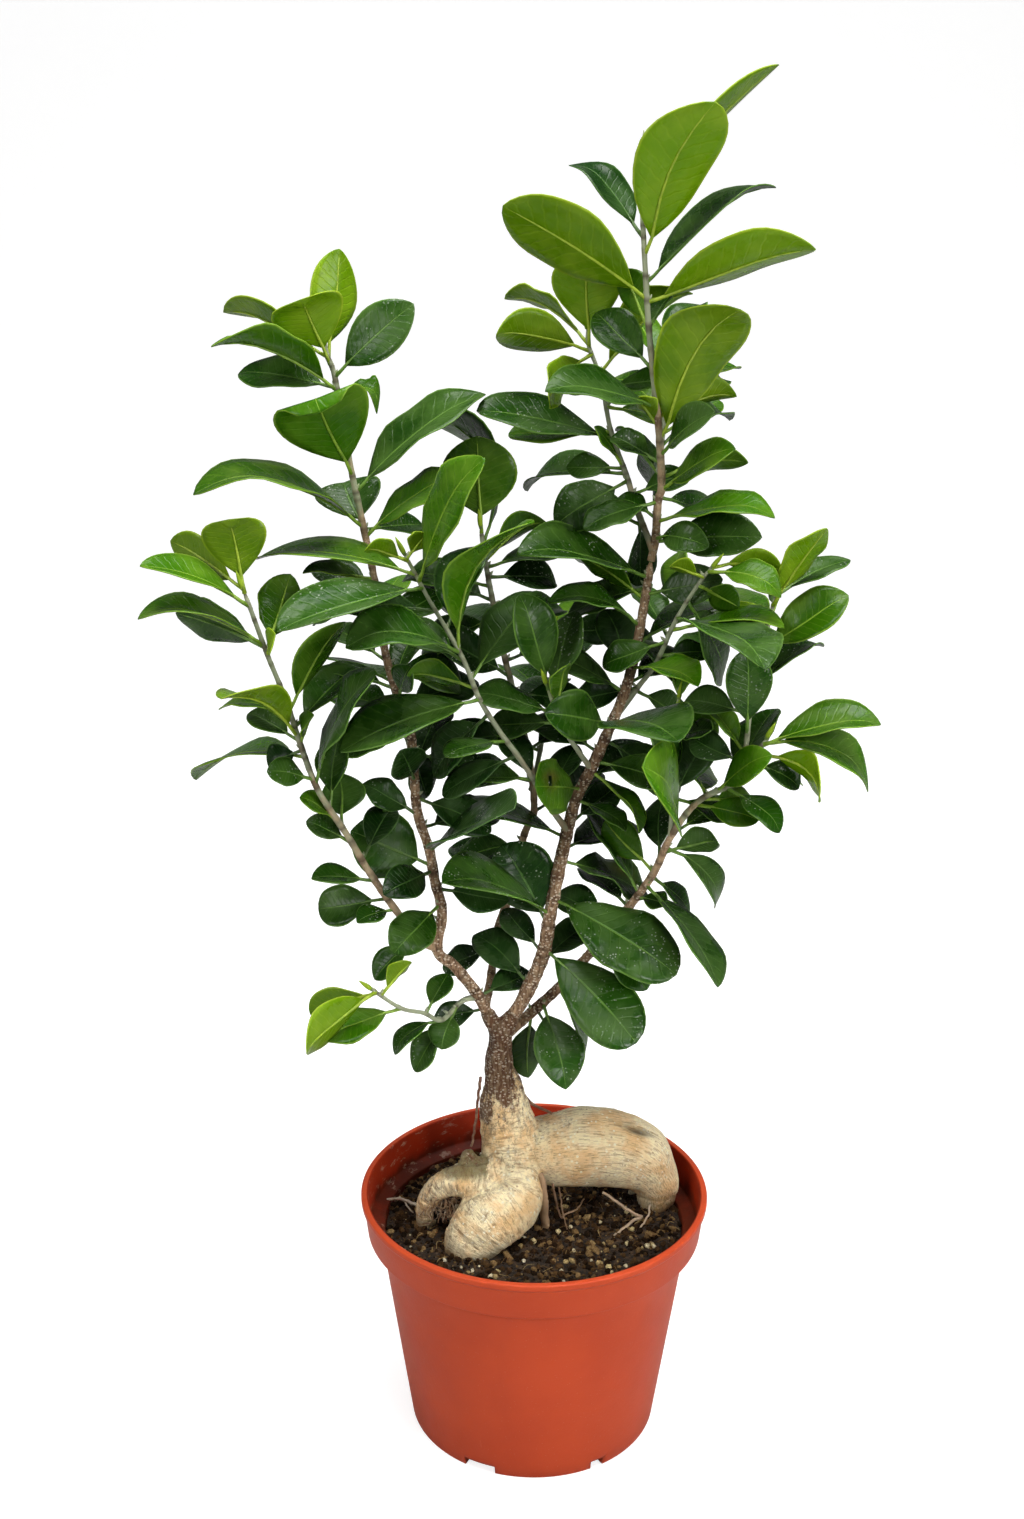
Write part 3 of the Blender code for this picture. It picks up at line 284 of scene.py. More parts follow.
        "from": "top_right",
        "route": [(46, 3, 418), (48, 18, 430), (50, 34, 446), (50, 46, 466)],
        "girth": (1.1, 0.7), "cuts": [],
        "leaves": [
            (15, 259, -45, 20, 11, 10, 2), (20, 30, -35, 26, 12, 10, 1), (32, 150, -40, 28, 12, 15, 1),
            (42, 15, -45, 26, 13, 15, 2), (50, 120, -35, 28, 12, 10, 1), (56, 60, -40, 28, 13, 15, 2)],
    },
}

trunkLine = [
    (-9, -4, 113), (-10, 2, 123), (-12, 5, 133), (-15, 7, 144), (-14, 8, 155), (-16, 7, 170), (-15, 5, 182),
]

# Swollen roots and trunk: centre, radius across, radius in height (or in depth on an upright part).
roots = [
    [((-9, -12, 105), 12.5, 12.5), ((-9, -4, 113), 13, 13), ((-10, 2, 123), 13, 12),
     ((-11, 5, 133), 12.5, 11.5), ((-13, 7, 144), 10.8, 10), ((-13.8, 7.5, 153), 8.4, 7.6),
     ((-15.3, 7, 163), 5.8, 5.6), ((-15, 5.5, 180), 5, 4.8)],
    [((-15, 5, 176), 4.2, 4.2), ((-18.6, 5.2, 184.3), 3.1, 3.1), ((-21, 4, 189.7), 2.5, 2.5)],
    [((-15, 5, 175), 4.5, 4.4), ((-12.2, 5, 182.5), 3.8, 3.8), ((-9.2, 5, 187.7), 3.1, 3.1)],
    [((-6, 5, 121), 11, 11), ((5, 8, 121), 15.5, 15.5), ((18, 11, 121), 17.2, 17.2),
     ((32, 13, 120), 17.3, 17.3), ((45, 14, 115), 15.5, 16.5), ((53, 15, 104), 11.5, 13),
     ((54.5, 15.5, 95), 8.8, 9.4), ((53.5, 15, 86), 7.2, 7.4), ((52, 15, 74), 5.8, 5.8)],
    [((-9, -6, 114), 12, 12), ((-9, -12, 109), 13, 13), ((-14.5, -16.5, 106), 13.5, 13.5),
     ((-21, -19.5, 102), 13.5, 12.5), ((-27, -21, 93), 12, 10.5), ((-28, -21, 77), 9, 8)],
    [((-12, -5, 114), 8.5, 8.5), ((-20, -8.5, 116), 7.6, 7.6), ((-31, -9.5, 116.5), 6.6, 7),
     ((-39, -8.5, 113.5), 5.6, 6), ((-45, -6.5, 106.5), 4.6, 4.8), ((-47.5, -4.5, 98), 3.9, 3.9),
     ((-47.5, -3.5, 90), 3.6, 3.6), ((-47.5, -3, 79), 3, 3)],
    [((-21, -6, 113), 7, 6.5), ((-26.5, -4.5, 120), 5.6, 5), ((-29, -3.5, 127.5), 2.6, 2.6)],
]


def spot(route, at):
    # the point and the direction at a distance along a route
    for start, end in zip(route, route[1:]):
        step = (end - start).length
        if at <= step or end is route[-1]:
            return start.lerp(end, at / step), (end - start).normalized()
        at -= step


def marksOf(route):
    # the distance along a route of each of its points
    marks = [0.0]
    for start, end in zip(route, route[1:]):
        marks.append(marks[-1] + (end - start).length)
    return marks


def span(route):
    return marksOf(route)[-1]


def thick(shoot, at):
    foot, end = shoot["girth"]
    return foot + (end - foot) * min(1, max(0, at / span(shoot["route"])))


def leafOf(shoot, row):
    at, swing, lean, reach, shows, arch, age = row
    foot = spot(shoot["route"], at)[0]
    leaf = {
        "at": at, "foot": foot, "near": (growth["eye"] - foot).normalized(), "reach": reach, "shows": shows,
        "swing": math.radians(swing), "lean": float(lean), "first": lean, "arch": math.radians(arch),
        "age": age,
    }
    aim(leaf)
    return leaf


def aim(leaf):
    # a leaf's direction, side, face, length and width from its swing and lean
    lean = math.radians(leaf["lean"])
    near = leaf["near"]
    right = upward.cross(near).normalized()
    along = math.cos(leaf["swing"]) * right + math.sin(leaf["swing"]) * near.cross(right)
    along = math.cos(lean) * along + math.sin(lean) * near
    leaf["long"] = min(growth["longest"], leaf["reach"] / math.cos(lean))
    wide = max(abs(leaf["shows"]) + 0.5, 0.5 * leaf["long"], 12)
    turn = math.acos(leaf["shows"] / wide)
    facing = (near - near.dot(along) * along).normalized()
    upper = along.cross(facing) if along.x < 0 else facing.cross(along)
    leaf["along"] = along
    leaf["wide"] = wide
    leaf["face"] = (facing * math.cos(turn) + upper * math.sin(turn)).normalized()
    leaf["side"] = leaf["face"].cross(along)


def petioleOf(leaf):
    return min(growth["petiole"], 0.25 * leaf["long"])


def humpOf(leaf, share):
    # how far an arched leaf stands off its chord
    return leaf["long"] * math.tan(leaf["arch"] / 4) / 2 * 4 * share * (1 - share)


def middleOf(leaf):
    return leaf["foot"] + leaf["along"] * leaf["long"] * 0.6


def bladeTree(leaf):
    # a plain lens with the leaf's outline, for finding leaves that cross
    long, wide = leaf["long"], leaf["wide"]
    petiole = petioleOf(leaf) / long
    shares = ((0, 0, 0), (0.35 * petiole, 0.75, 0.75), (petiole, 0.85, 0.75),
              (0.4, 0.45 * wide, 1.4), (0.74, 0.46 * wide, 1.4), (1, 0, 0))
    bm = bmesh.new()
    ball = bmesh.ops.create_uvsphere(bm, u_segments=4, v_segments=5, radius=1)["verts"]
    ball.sort(key=lambda vert: -vert.co.z)
    rings = [ball[:1], ball[1:5], ball[5:9], ball[9:13], ball[13:17], ball[17:]]
    for ring, (share, width, depth) in zip(rings, shares):
        centre = leaf["foot"] + leaf["along"] * long * share + leaf["face"] * humpOf(leaf, share)
        for vert in ring:
            flat = Vector((vert.co.x, vert.co.y)).normalized() if len(ring) == 4 else Vector((0, 0))
            vert.co = centre - leaf["side"] * flat.x * width + leaf["face"] * flat.y * depth
    bmesh.ops.delete(bm, geom=rings[0] + rings[1], context="VERTS")
    tree = BVHTree.FromBMesh(bm)
    bm.free()
    return tree


def ringOf(centre, direction, across, deep, sides):
    first = Vector((0, 1, 0)).cross(direction)
    first = first.normalized() if first.length > 0.2 else Vector((1, 0, 0))
    second = direction.cross(first)
    turns = [circle * (index + 0.5) / sides for index in range(sides)]
    return [centre + first * across * math.cos(turn) + second * deep * math.sin(turn) for turn in turns]


def addTube(bm, rings):
    # a closed tube through rings with the same number of points
    rows = [[bm.verts.new(point) for point in ring] for ring in rings]
    sides = len(rows[0])
    faces = [bm.faces.new(rows[0][::-1]), bm.faces.new(rows[-1])]
    for low, high in zip(rows, rows[1:]):
        for index in range(sides):
            after = (index + 1) % sides
            faces.append(bm.faces.new((low[index], low[after], high[after], high[index])))
    bmesh.ops.recalc_face_normals(bm, faces=faces)


def flushRings(shoot, start, end, sides, extra):
    route = shoot["route"]
    inner = [mark for mark in marksOf(route) if start + 3 < mark < end - 3]
    rings = []
    for at in [start, *inner, end]:
        centre = spot(route, at)[0]
        heading = (spot(route, min(at + 2, span(route)))[1] + spot(route, max(at - 2, 0))[1]).normalized()
        if at == start and "from" not in shoot or at == start > 0:
            centre = centre + heading * growth["gap"]
        radius = thick(shoot, at) + extra
        rings.append(ringOf(centre, heading, radius, radius, sides))
    if start == 0 and "from" in shoot:
        plane, normal = shoot["seat"]
        heading = (route[1] - route[0]).normalized()
        for index, point in enumerate(rings[0]):
            rings[0][index] = point + heading * ((plane - point).dot(normal) / heading.dot(normal))
    return rings


def flushes(shoot):
    ends = [0, *shoot["cuts"], span(shoot["route"])]
    return list(zip(ends, ends[1:]))


def seatOf(shoot, parent, radiusAt):
    # the plane, just clear of the parent's bark, where a side shoot starts
    foot = shoot["route"][0]
    best, at = 1e9, 0
    for step in range(int(span(parent)) * 2):
        distance = (spot(parent, step / 2)[0] - foot).length
        if distance < best:
            best, at = distance, step / 2
    axis = spot(parent, at)[1]
    heading = (shoot["route"][1] - foot).normalized()
    normal = (heading - axis * heading.dot(axis)).normalized()
    return spot(parent, at)[0] + normal * (radiusAt(at) + growth["gap"]), normal


def rootRings(rows, extra):
    rings = []
    for index, (centre, across, deep) in enumerate(rows):
        before, after = rows[max(index - 1, 0)][0], rows[min(index + 1, len(rows) - 1)][0]
        heading = (Vector(after) - Vector(before)).normalized()
        beyond = extra if index == len(rows) - 1 else 0
        centre = Vector(centre) + heading * beyond
        rings.append(ringOf(centre, heading, across + extra, deep + extra, growth["rootSides"]))
    return rings


def plan():
    for name, shoot in shoots.items():
        shoot["route"] = [Vector(point) for point in shoot["route"]]
        shoot["leaves"] = [leafOf(shoot, row) for row in shoot["leaves"]]
        for leaf in shoot["leaves"]:
            leaf["flush"] = name, max(start for start, end in flushes(shoot) if start <= leaf["at"])
    trunk = [Vector(point) for point in trunkLine]
    for shoot in shoots.values():
        if shoot.get("from") == "trunk":
            shoot["seat"] = seatOf(shoot, trunk, lambda at: 5.2)
        elif "from" in shoot:
            parent = shoots[shoot["from"]]
            shoot["seat"] = seatOf(shoot, parent["route"], lambda at: thick(parent, at))


def tubeTree(rings):
    bm = bmesh.new()
    addTube(bm, rings)
    tree = BVHTree.FromBMesh(bm)
    bm.free()
    return tree


def growApart():
    # leaves that cross one another, or a stem, part: the nearer leans forward and the farther back
    clear, forward, stray, most = [growth[key] for key in ("clear", "forward", "stray", "most")]
    stems = {(name, start): tubeTree(flushRings(shoot, start, end, growth["stemSides"], clear))
             for name, shoot in shoots.items() for start, end in flushes(shoot)}
    for index, rows in enumerate(roots):
        stems["rootstock", index] = tubeTree(rootRings(rows, clear))
    leaves = [leaf for shoot in shoots.values() for leaf in shoot["leaves"]]
    for leaf in leaves:
        leaf["tree"] = bladeTree(leaf)
    for turn in range(growth["rounds"]):
        pushes = [0.0] * len(leaves)
        for first, leaf in enumerate(leaves):
            centre = middleOf(leaf)
            for second in range(first + 1, len(leaves)):
                other = leaves[second]
                apart = middleOf(other) - centre
                if apart.length > 0.6 * (leaf["long"] + other["long"]):
                    continue
                if leaf["tree"].overlap(other["tree"]):
                    front = 1 if apart.dot(leaf["near"]) < 0 else -1
                    pushes[first] += front
                    pushes[second] -= front
            for grown, stem in stems.items():
                if grown == leaf["flush"] or not leaf["tree"].overlap(stem):
                    continue
                nearest = stem.find_nearest(centre)[0]
                pushes[first] += 1 if (centre - nearest).dot(leaf["near"]) > 0 else -1
        moved = {index for index, push in enumerate(pushes) if push}
        if not moved:
            break
        for index in moved:
            leaf = leaves[index]
            wanted = leaf["lean"] + max(-most, min(most, growth["push"] * pushes[index]))
            wanted = max(-forward, min(forward, wanted))
            leaf["lean"] = max(leaf["first"] - stray, min(leaf["first"] + stray, wanted))
            aim(leaf)
            leaf["tree"] = bladeTree(leaf)
    return len(leaves), len(moved)


plan()
print("leaves placed, still crossing:", growApart())

# node helpers: each works in the tree of the material or group begun last

canvas = {}


class Value:
    # what comes out of a node, open to arithmetic
    def __init__(self, socket):
        self.socket = socket

    def __add__(self, other):
        return maths("ADD", self, other)

    def __sub__(self, other):
        return maths("SUBTRACT", self, other)

    def __mul__(self, other):
        return maths("MULTIPLY", self, other)

    def __truediv__(self, other):
        return maths("DIVIDE", self, other)

    def __lt__(self, other):
        return maths("LESS_THAN", self, other)


def plug(value, socket):
    if isinstance(value, Value):
        canvas["tree"].links.new(value.socket, socket)
    elif isinstance(value, tuple) and socket.type == "RGBA":
        socket.default_value = (*value, 1)
    else:
        socket.default_value = value


def addNode(kind, inputs, output=0, **settings):
    node = canvas["tree"].nodes.new(kind)
    for key, value in settings.items():
        setattr(node, key, value)
    for key, value in inputs.items():
        plug(value, node.inputs[key])
    return Value(node.outputs[output])


def maths(operation, first, second=0.0):
    return addNode("ShaderNodeMath", {0: first, 1: second}, operation=operation)


def fade(value, low, high, top=1.0):
    # nothing at low, all of top at high
    inputs = {"Value": value, "From Min": low, "From Max": high, "To Min": 0.0, "To Max": top}
    return addNode("ShaderNodeMapRange", inputs, interpolation_type="SMOOTHSTEP")


def blend(factor, first, second, mode="MIX"):
    return addNode("ShaderNodeMix", {0: factor, 6: first, 7: second}, 2, data_type="RGBA", blend_type=mode)


def painted(ground, *coats):
    # the ground colour under coats of (mask, colour)
    for mask, colour in coats:
        ground = blend(mask, ground, colour)
    return ground


def ramp(value, stops):
    shade = addNode("ShaderNodeValToRGB", {0: value})
    elements = shade.socket.node.color_ramp.elements
    while len(elements) < len(stops):
        elements.new(1)
    for element, (place, colour) in zip(elements, stops):
        element.position = place
        element.color = (*colour, 1)
    return shade


def cloud(vector, scale, detail=3.0, roughness=0.55):
    inputs = {"Vector": vector, "Scale": scale, "Detail": detail, "Roughness": roughness}
    return addNode("ShaderNodeTexNoise", inputs)


def cells(vector, scale, feature="F1"):
    return addNode("ShaderNodeTexVoronoi", {"Vector": vector, "Scale": scale}, "Distance", feature=feature)


def stretch(vector, scale):
    return addNode("ShaderNodeMapping", {"Vector": vector, "Scale": scale})


def axes(vector):
    return [Value(socket) for socket in addNode("ShaderNodeSeparateXYZ", {0: vector}).socket.node.outputs]


def attribute(name, output="Fac"):
    return addNode("ShaderNodeAttribute", {}, output, attribute_name=name)


def bump(height, distance, strength=1.0):
    return addNode("ShaderNodeBump", {"Height": height, "Distance": distance, "Strength": strength})


def newMaterial(name, roughness, gloss=0.5):
    material = bpy.data.materials.new(name)
    material.use_nodes = True
    canvas["tree"] = material.node_tree
    canvas["inputs"] = material.node_tree.nodes["Principled BSDF"].inputs
    plug(roughness, canvas["inputs"]["Roughness"])
    plug(gloss, canvas["inputs"]["Specular IOR Level"])
    return material, addNode("ShaderNodeTexCoord", {}, "Object")


def dress(tint, relief=None, others=()):
    # the surface of the material begun last: its colour, its bump and any other inputs
    inputs = canvas["inputs"]
    plug(tint, inputs["Base Color"])
    if relief is not None:
        plug(relief, inputs["Normal"])
    for label, value in others:
        plug(value, inputs[label])


def newGroup(name, numbers, outputs):
    # a group fed with Place and with the named numbers
    group = canvas["tree"] = bpy.data.node_groups.new(name, "ShaderNodeTree")
    group.interface.new_socket("Place", in_out="INPUT", socket_type="NodeSocketVector")
    for label in numbers:
        group.interface.new_socket(label, in_out="INPUT", socket_type="NodeSocketFloat")
    for label in outputs:
        group.interface.new_socket(label, in_out="OUTPUT", socket_type="NodeSocketFloat")
    given = {socket.name: Value(socket) for socket in group.nodes.new("NodeGroupInput").outputs}
    return group, given, group.nodes.new("NodeGroupOutput").inputs


def useGroup(group, **inputs):
    node = addNode("ShaderNodeGroup", inputs, node_tree=group).socket.node
    return {socket.name: Value(socket) for socket in node.outputs}


# shared effects

# veins of a leaf: Place runs from foot to tip in X and from edge to edge in Y
veins, given, made = newGroup("leafVeins", ["Shift"], ["Midrib", "Veins", "Margin"])
veinPairs = 11.0
along, across = axes(given["Place"])[:2]
off = maths("ABSOLUTE", across * 2.0 - 1.0)
plug(fade(off / (along * -0.055 + 0.075), 1.0, 0.45), made["Midrib"])
wobble = cloud(stretch(given["Place"], (6, 6, 1)), 1.0, 1.0)
slant = along - maths("POWER", off, 0.8) * 0.17 + wobble * 0.05
line = maths("PINGPONG", slant * veinPairs + given["Shift"], 0.5)
plug(fade(line, 0.13, 0.02) * fade(off, 0.98, 0.8), made["Veins"])
plug(fade(off, 0.925, 0.985), made["Margin"])

# weather: soft patches, and sparse specks of dried water and dust
weather, given, made = newGroup("weather", [], ["Patches", "Specks"])
plug(cloud(given["Place"], 60.0, 4.0), made["Patches"])
sparse = fade(cloud(given["Place"], 130.0, 2.0), 0.49, 0.64)
plug((cells(given["Place"], 700.0) < 0.24) * sparse, made["Specks"])

# bark: long fissures and pale raised pores
bark, given, made = newGroup("bark", [], ["Fissures", "Pores"])
furrow = cloud(stretch(given["Place"], (900, 900, 170)), 1.0, 4.0, 0.7)
plug(fade(furrow, 0.42, 0.62), made["Fissures"])
plug(cells(stretch(given["Place"], (620, 620, 900)), 1.0) < 0.34, made["Pores"])
print("shared effects ready")

# leaf materials

leafTones = {  # from youngest to oldest: blade above, blade below, veins above, veins below
    "above": [(0.105, 0.225, 0.0005), (0.034, 0.122, 0.0008), (0.011, 0.051, 0.0012), (0.0042, 0.027, 0.001)],
    # the blade below: its own paler green, brightened most on young leaves as painted light shining through
    # the blade
    "below": [(0.15, 0.30, 0.0005), (0.078, 0.19, 0.0008), (0.036, 0.11, 0.0015), (0.024, 0.072, 0.003)],
    "veinAbove": [(0.34, 0.47, 0.03), (0.21, 0.36, 0.03), (0.13, 0.26, 0.04), (0.085, 0.18, 0.04)],
    "veinBelow": [(0.36, 0.48, 0.03), (0.25, 0.40, 0.03), (0.14, 0.27, 0.03), (0.09, 0.17, 0.035)],
    # the bloom colour is partly the leaves' own grey bloom and partly a painted grey sheen
    "bloom": (0.050, 0.090, 0.029), "dust": (0.33, 0.37, 0.29), "brown": (0.13, 0.085, 0.018),
}
leafSides = {  # rib and veins are heights: sunk on the upper side, proud on the lower
    "above": {"veinTone": "veinAbove", "rough": 0.27, "gloss": 0.18, "tinge": 0.1, "rib": -1, "veins": -0.3},
    "below": {"veinTone": "veinBelow", "rough": 0.5, "gloss": 0.06, "tinge": 0.22, "rib": 1, "veins": 0.35},
}


def byAge(tones):
    return ramp(attribute("age") / 3.0, [(index / 3, tone) for index, tone in enumerate(leafTones[tones])])


def bladeMaterial(name, side):
    look = leafSides[side]
    material, where = newMaterial(name, look["rough"], look["gloss"])
    place = addNode("ShaderNodeUVMap", {}, uv_map="UVMap")
    lines = useGroup(veins, Place=place, Shift=attribute("tone"))
    grime = useGroup(weather, Place=where)
    veinTint = byAge(look["veinTone"])
    lively = attribute("tone") * 0.5 + 0.72
    tint = painted(
        blend(1.0, byAge(side), lively, "MULTIPLY"),
        (fade(grime["Patches"], 0.35, 0.75, 0.38), veinTint), (lines["Veins"] * look["tinge"], veinTint),
        (lines["Midrib"] * 0.8, veinTint), (lines["Margin"] * 0.8, veinTint))
    if side == "above":
        # older leaves take a grey-green coat over soft patches: partly their own bloom, partly painted sheen
        tint = painted(
            tint, (attribute("bloom") * fade(grime["Patches"], 0.3, 0.65), leafTones["bloom"]),
            (grime["Specks"] * attribute("dust"), leafTones["dust"]))
    height = lines["Midrib"] * look["rib"] + lines["Veins"] * look["veins"] + cloud(where, 130.0, 2.0) * 2.4
    rough = grime["Patches"] * 0.22 + (look["rough"] - 0.1)
    dress(blend(attribute("brown"), tint, leafTones["brown"]), bump(height, 0.0005, 0.55),
          [("Roughness", rough)])
    return material


leafAbove = bladeMaterial("leafAbove", "above")
# the underside carries painted light: its tones glow as if lit through the blade
leafBelow = bladeMaterial("leafBelow", "below")
leafEdge, where = newMaterial("leafEdge", 0.5)
dress(blend(cloud(where, 200.0), byAge("veinAbove"), byAge("below")))
leafStalk, where = newMaterial("leafStalk", 0.45)
greener = fade(cloud(where, 300.0), 0.4, 0.7, 0.5)
dress(blend(greener, byAge("veinBelow"), byAge("above")), bump(cloud(where, 900.0), 0.0002, 0.5))
leafMaterials = [leafAbove, leafBelow, leafEdge, leafStalk]

# stem material: green when thin, grey-green, then brown bark when thick

stemTones = {
    "bud": (0.26, 0.38, 0.02), "green": (0.17, 0.25, 0.055), "pale": (0.33, 0.36, 0.23),
    "tan": (0.52, 0.345, 0.20), "brown": (0.25, 0.13, 0.07), "pore": (0.80, 0.67, 0.50),
    # furrow: the darkest bark, partly the bark's own colour and partly painted shade in deep fissures
    "furrow": (0.05, 0.024, 0.013),
}
stemBark, where = newMaterial("stemBark", 0.72, 0.2)
girth = attribute("girth")
grain = useGroup(bark, Place=where)
shiftedGirth = girth + (cloud(where, 140.0, 3.0) - 0.5) * 0.9
rough = fade(shiftedGirth, 1.1, 1.7)
pores = grain["Pores"] * fade(shiftedGirth, 1.2, 1.9, 0.85)
tint = painted(
    stemTones["green"],
    (fade(shiftedGirth, 0.45, 0.75), stemTones["pale"]), (fade(girth, 0.4, 0.3), stemTones["bud"]),
    (fade(shiftedGirth, 1.05, 1.5), stemTones["tan"]),
    (fade(shiftedGirth, 1.4, 2.1, 0.8), stemTones["brown"]),
    (grain["Fissures"] * (rough * 0.75), stemTones["tan"]),
    # the deepest fissures of thick stems go nearly black: partly the bark's own dark furrows, partly painted
    # shade in the recesses
    (fade(grain["Fissures"], 0.12, 0.0, 0.55) * rough, stemTones["furrow"]),
    (attribute("scar") * 0.75, stemTones["furrow"]), (pores, stemTones["pore"]))
dress(tint, bump(grain["Fissures"] * rough + pores * 0.8, 0.0006, 0.8))
print("leaf and stem materials ready")

# mesh helpers


def meshOf(name, bm):
    mesh = bpy.data.meshes.new(name)
    bm.to_mesh(mesh)
    bm.free()
    return mesh


def placed(name, data):
    obj = bpy.data.objects.new(name, data)
    bpy.context.scene.collection.objects.link(obj)
    return obj


def shaped(bm, kind, **settings):
    # the same mesh after one modifier
    mesh = meshOf("shaping", bm)
    obj = placed("shaping", mesh)
    modifier = obj.modifiers.new(kind.lower(), kind)
    for key, value in settings.items():
        setattr(modifier, key, value)
    result = bpy.data.meshes.new_from_object(obj.evaluated_get(bpy.context.evaluated_depsgraph_get()))
    bm = bmesh.new()
    bm.from_mesh(result)
    bpy.data.objects.remove(obj)
    for used in (mesh, result):
        bpy.data.meshes.remove(used)
    return bm


def finished(name, bm, materials, nodes=(), smooth=True):
    # one piece of the model, from a mesh in millimetres
    bmesh.ops.scale(bm, vec=(mm, mm, mm), verts=bm.verts)
    for face in bm.faces:
        face.smooth = smooth
    mesh = meshOf(name, bm)
    for material in materials:
        mesh.materials.append(material)
    obj = placed(name, mesh)
    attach(obj, "root")
    if nodes:
        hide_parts(*nodes)


def bell(distance, width):
    return math.exp(-(distance / width) ** 2)


def easedLine(points, step):
    # a smooth line through the points, with a point about every step
    points = [Vector(point) for point in points]
    padded = [points[0] * 2 - points[1], *points, points[-1] * 2 - points[-2]]
    line = []
    for before, start, end, after in zip(padded, padded[1:], padded[2:], padded[3:]):
        count = max(1, round((end - start).length / step))
        for index in range(count):
            t = index / count
            bend = (end - before) * t + (2 * before - 5 * start + 4 * end - after) * t ** 2
            line.append(start + 0.5 * (bend + (3 * start - before - 3 * end + after) * t ** 3))
    return line + [points[-1]]


def framesAlong(line):
    # a turning frame carried along the line without twist
    frames = []
    heading = upward
    frame = Matrix.Identity(3)
    for index in range(len(line)):
        ahead = (line[min(index + 1, len(line) - 1)] - line[max(index - 1, 0)]).normalized()
        frame = heading.rotation_difference(ahead).to_matrix() @ frame
        heading = ahead
        frames.append(frame.copy())
    return frames


def sweep(bm, line, sizes, sides, values):
    # a round stem drawn out ring by ring; values are vertex layers with one number for each ring
    ring = bmesh.ops.create_circle(bm, cap_ends=False, segments=sides, radius=1)["verts"]
    unit = {vert: vert.co.copy() for vert in ring}
    edges = list(dict.fromkeys(edge for vert in ring for edge in vert.link_edges))
    faces = list(bmesh.ops.contextual_create(bm, geom=edges)["faces"])
    for index, (centre, frame, size) in enumerate(zip(line, framesAlong(line), sizes)):
        across, deep = size if isinstance(size, tuple) else (size, size)
        if index:
            geom = bmesh.ops.extrude_edge_only(bm, edges=edges)["geom"]
            ring = [item for item in geom if isinstance(item, bmesh.types.BMVert)]
            unit = {vert: next(unit[edge.other_vert(vert)] for edge in vert.link_edges
                               if edge.other_vert(vert) in unit) for vert in ring}
            faces += [item for item in geom if isinstance(item, bmesh.types.BMFace)]
            edges = [edge for edge in geom if isinstance(edge, bmesh.types.BMEdge)
                     and edge.verts[0] in ring and edge.verts[1] in ring]
        for vert in ring:
            vert.co = centre + frame @ Vector((unit[vert].x * across, unit[vert].y * deep, 0))
            for layer, numbers in values.items():
                vert[layer] = numbers[index]
    faces += bmesh.ops.contextual_create(bm, geom=edges)["faces"]
    bmesh.ops.recalc_face_normals(bm, faces=faces)
    return faces


# leaves

leafForm = {
    "rows": 13, "columns": 6, "thickness": 0.42, "swell": 0.86,
    "tipFrom": 0.62, "curlDrop": 0.16, "curlDraw": 0.05,  # where the tip starts to curl, and how far it goes
    "notchWide": 2.2, "flapRun": 0.07, "edgeShift": 1.7,  # the last is how far the two edges wave out of step
    "stalk": (0.95, 0.72, 0.7), "midrib": (0.12, 0.28, 0.45, 0.62, 0.78, 0.9), "ribSides": 6,
    "brownAt": (0.55, 0.5), "merge": 0.01,
}
# a bloom value in a habit is partly the leaf's own grey bloom and partly painted sheen
habits = {  # leaves with a habit of their own, by shoot and distance along it
    "left": {
        236: {"blunt": 0.4, "fold": 0.14, "flap": 2.2, "flapAt": 0.9}, 267: {"curl": 2.2, "wave": 0.12},
        269: {"fold": 0.5, "blunt": 0.8}, 274: {"bloom": 0.35, "fold": 0.14},
        279: {"notch": 0.12, "blunt": 0.32, "fold": 0.2},
    },
    "far_left": {151: {"fold": 0.5, "wave": 0.1}, 175: {"notch": 0.13, "blunt": 0.32, "fold": 0.12}},
    "right": {
        33: {"blunt": 0.5, "fold": 0.12}, 43: {"dust": 1.0}, 55: {"blunt": 0.56, "fold": 0.12},
        72: {"wave": 0.16, "brown": 0.5}, 189: {"bloom": 0.6},
        # the chewed leaf's younger age and full tone make it brighter: painted light for sun on its upper
        # side
        104: {"fold": 0.1, "blunt": 0.5, "brown": 0.9, "hole": (0.62, -0.3), "tone": 1.0, "bloom": 0.0,
              "age": 1.3},
    },
    "top_right": {
        49: {"blunt": 0.54, "fold": 0.2, "bend": -0.07},
        101: {"fold": 0.4, "blunt": 0.7, "curl": 0.3, "tone": 1.0},
        102: {"blunt": 0.66, "fold": 0.3}, 108: {"fold": 0.3, "blunt": 0.8, "wave": 0.0},
        118: {"blunt": 0.6, "fold": 0.2, "bend": -0.07, "tone": 1.0, "bloom": 0.0},
        136: {"fold": 0.12, "cup": 0.0, "wave": 0.0, "blunt": 0.9, "curl": 0.1},
    },
    "top_left": {
        30: {"bloom": 0.5}, 73: {"fold": 0.5, "blunt": 0.7},
        84: {"flap": 2.0, "flapAt": 0.9, "blunt": 0.45, "fold": 0.15},
    },
    "middle": {215: {"fold": 0.5}},
    "low_right": {
        24: {"bloom": 0.9, "dust": 1.0}, 97: {"bloom": 0.3}, 104: {"bloom": 0.5}, 118: {"bloom": 0.3},
        182: {"bloom": 0.35}, 183: {"bloom": 0.45},
    },
    "right_shoot": {17: {"bloom": 0.3, "fold": 0.15}},
}


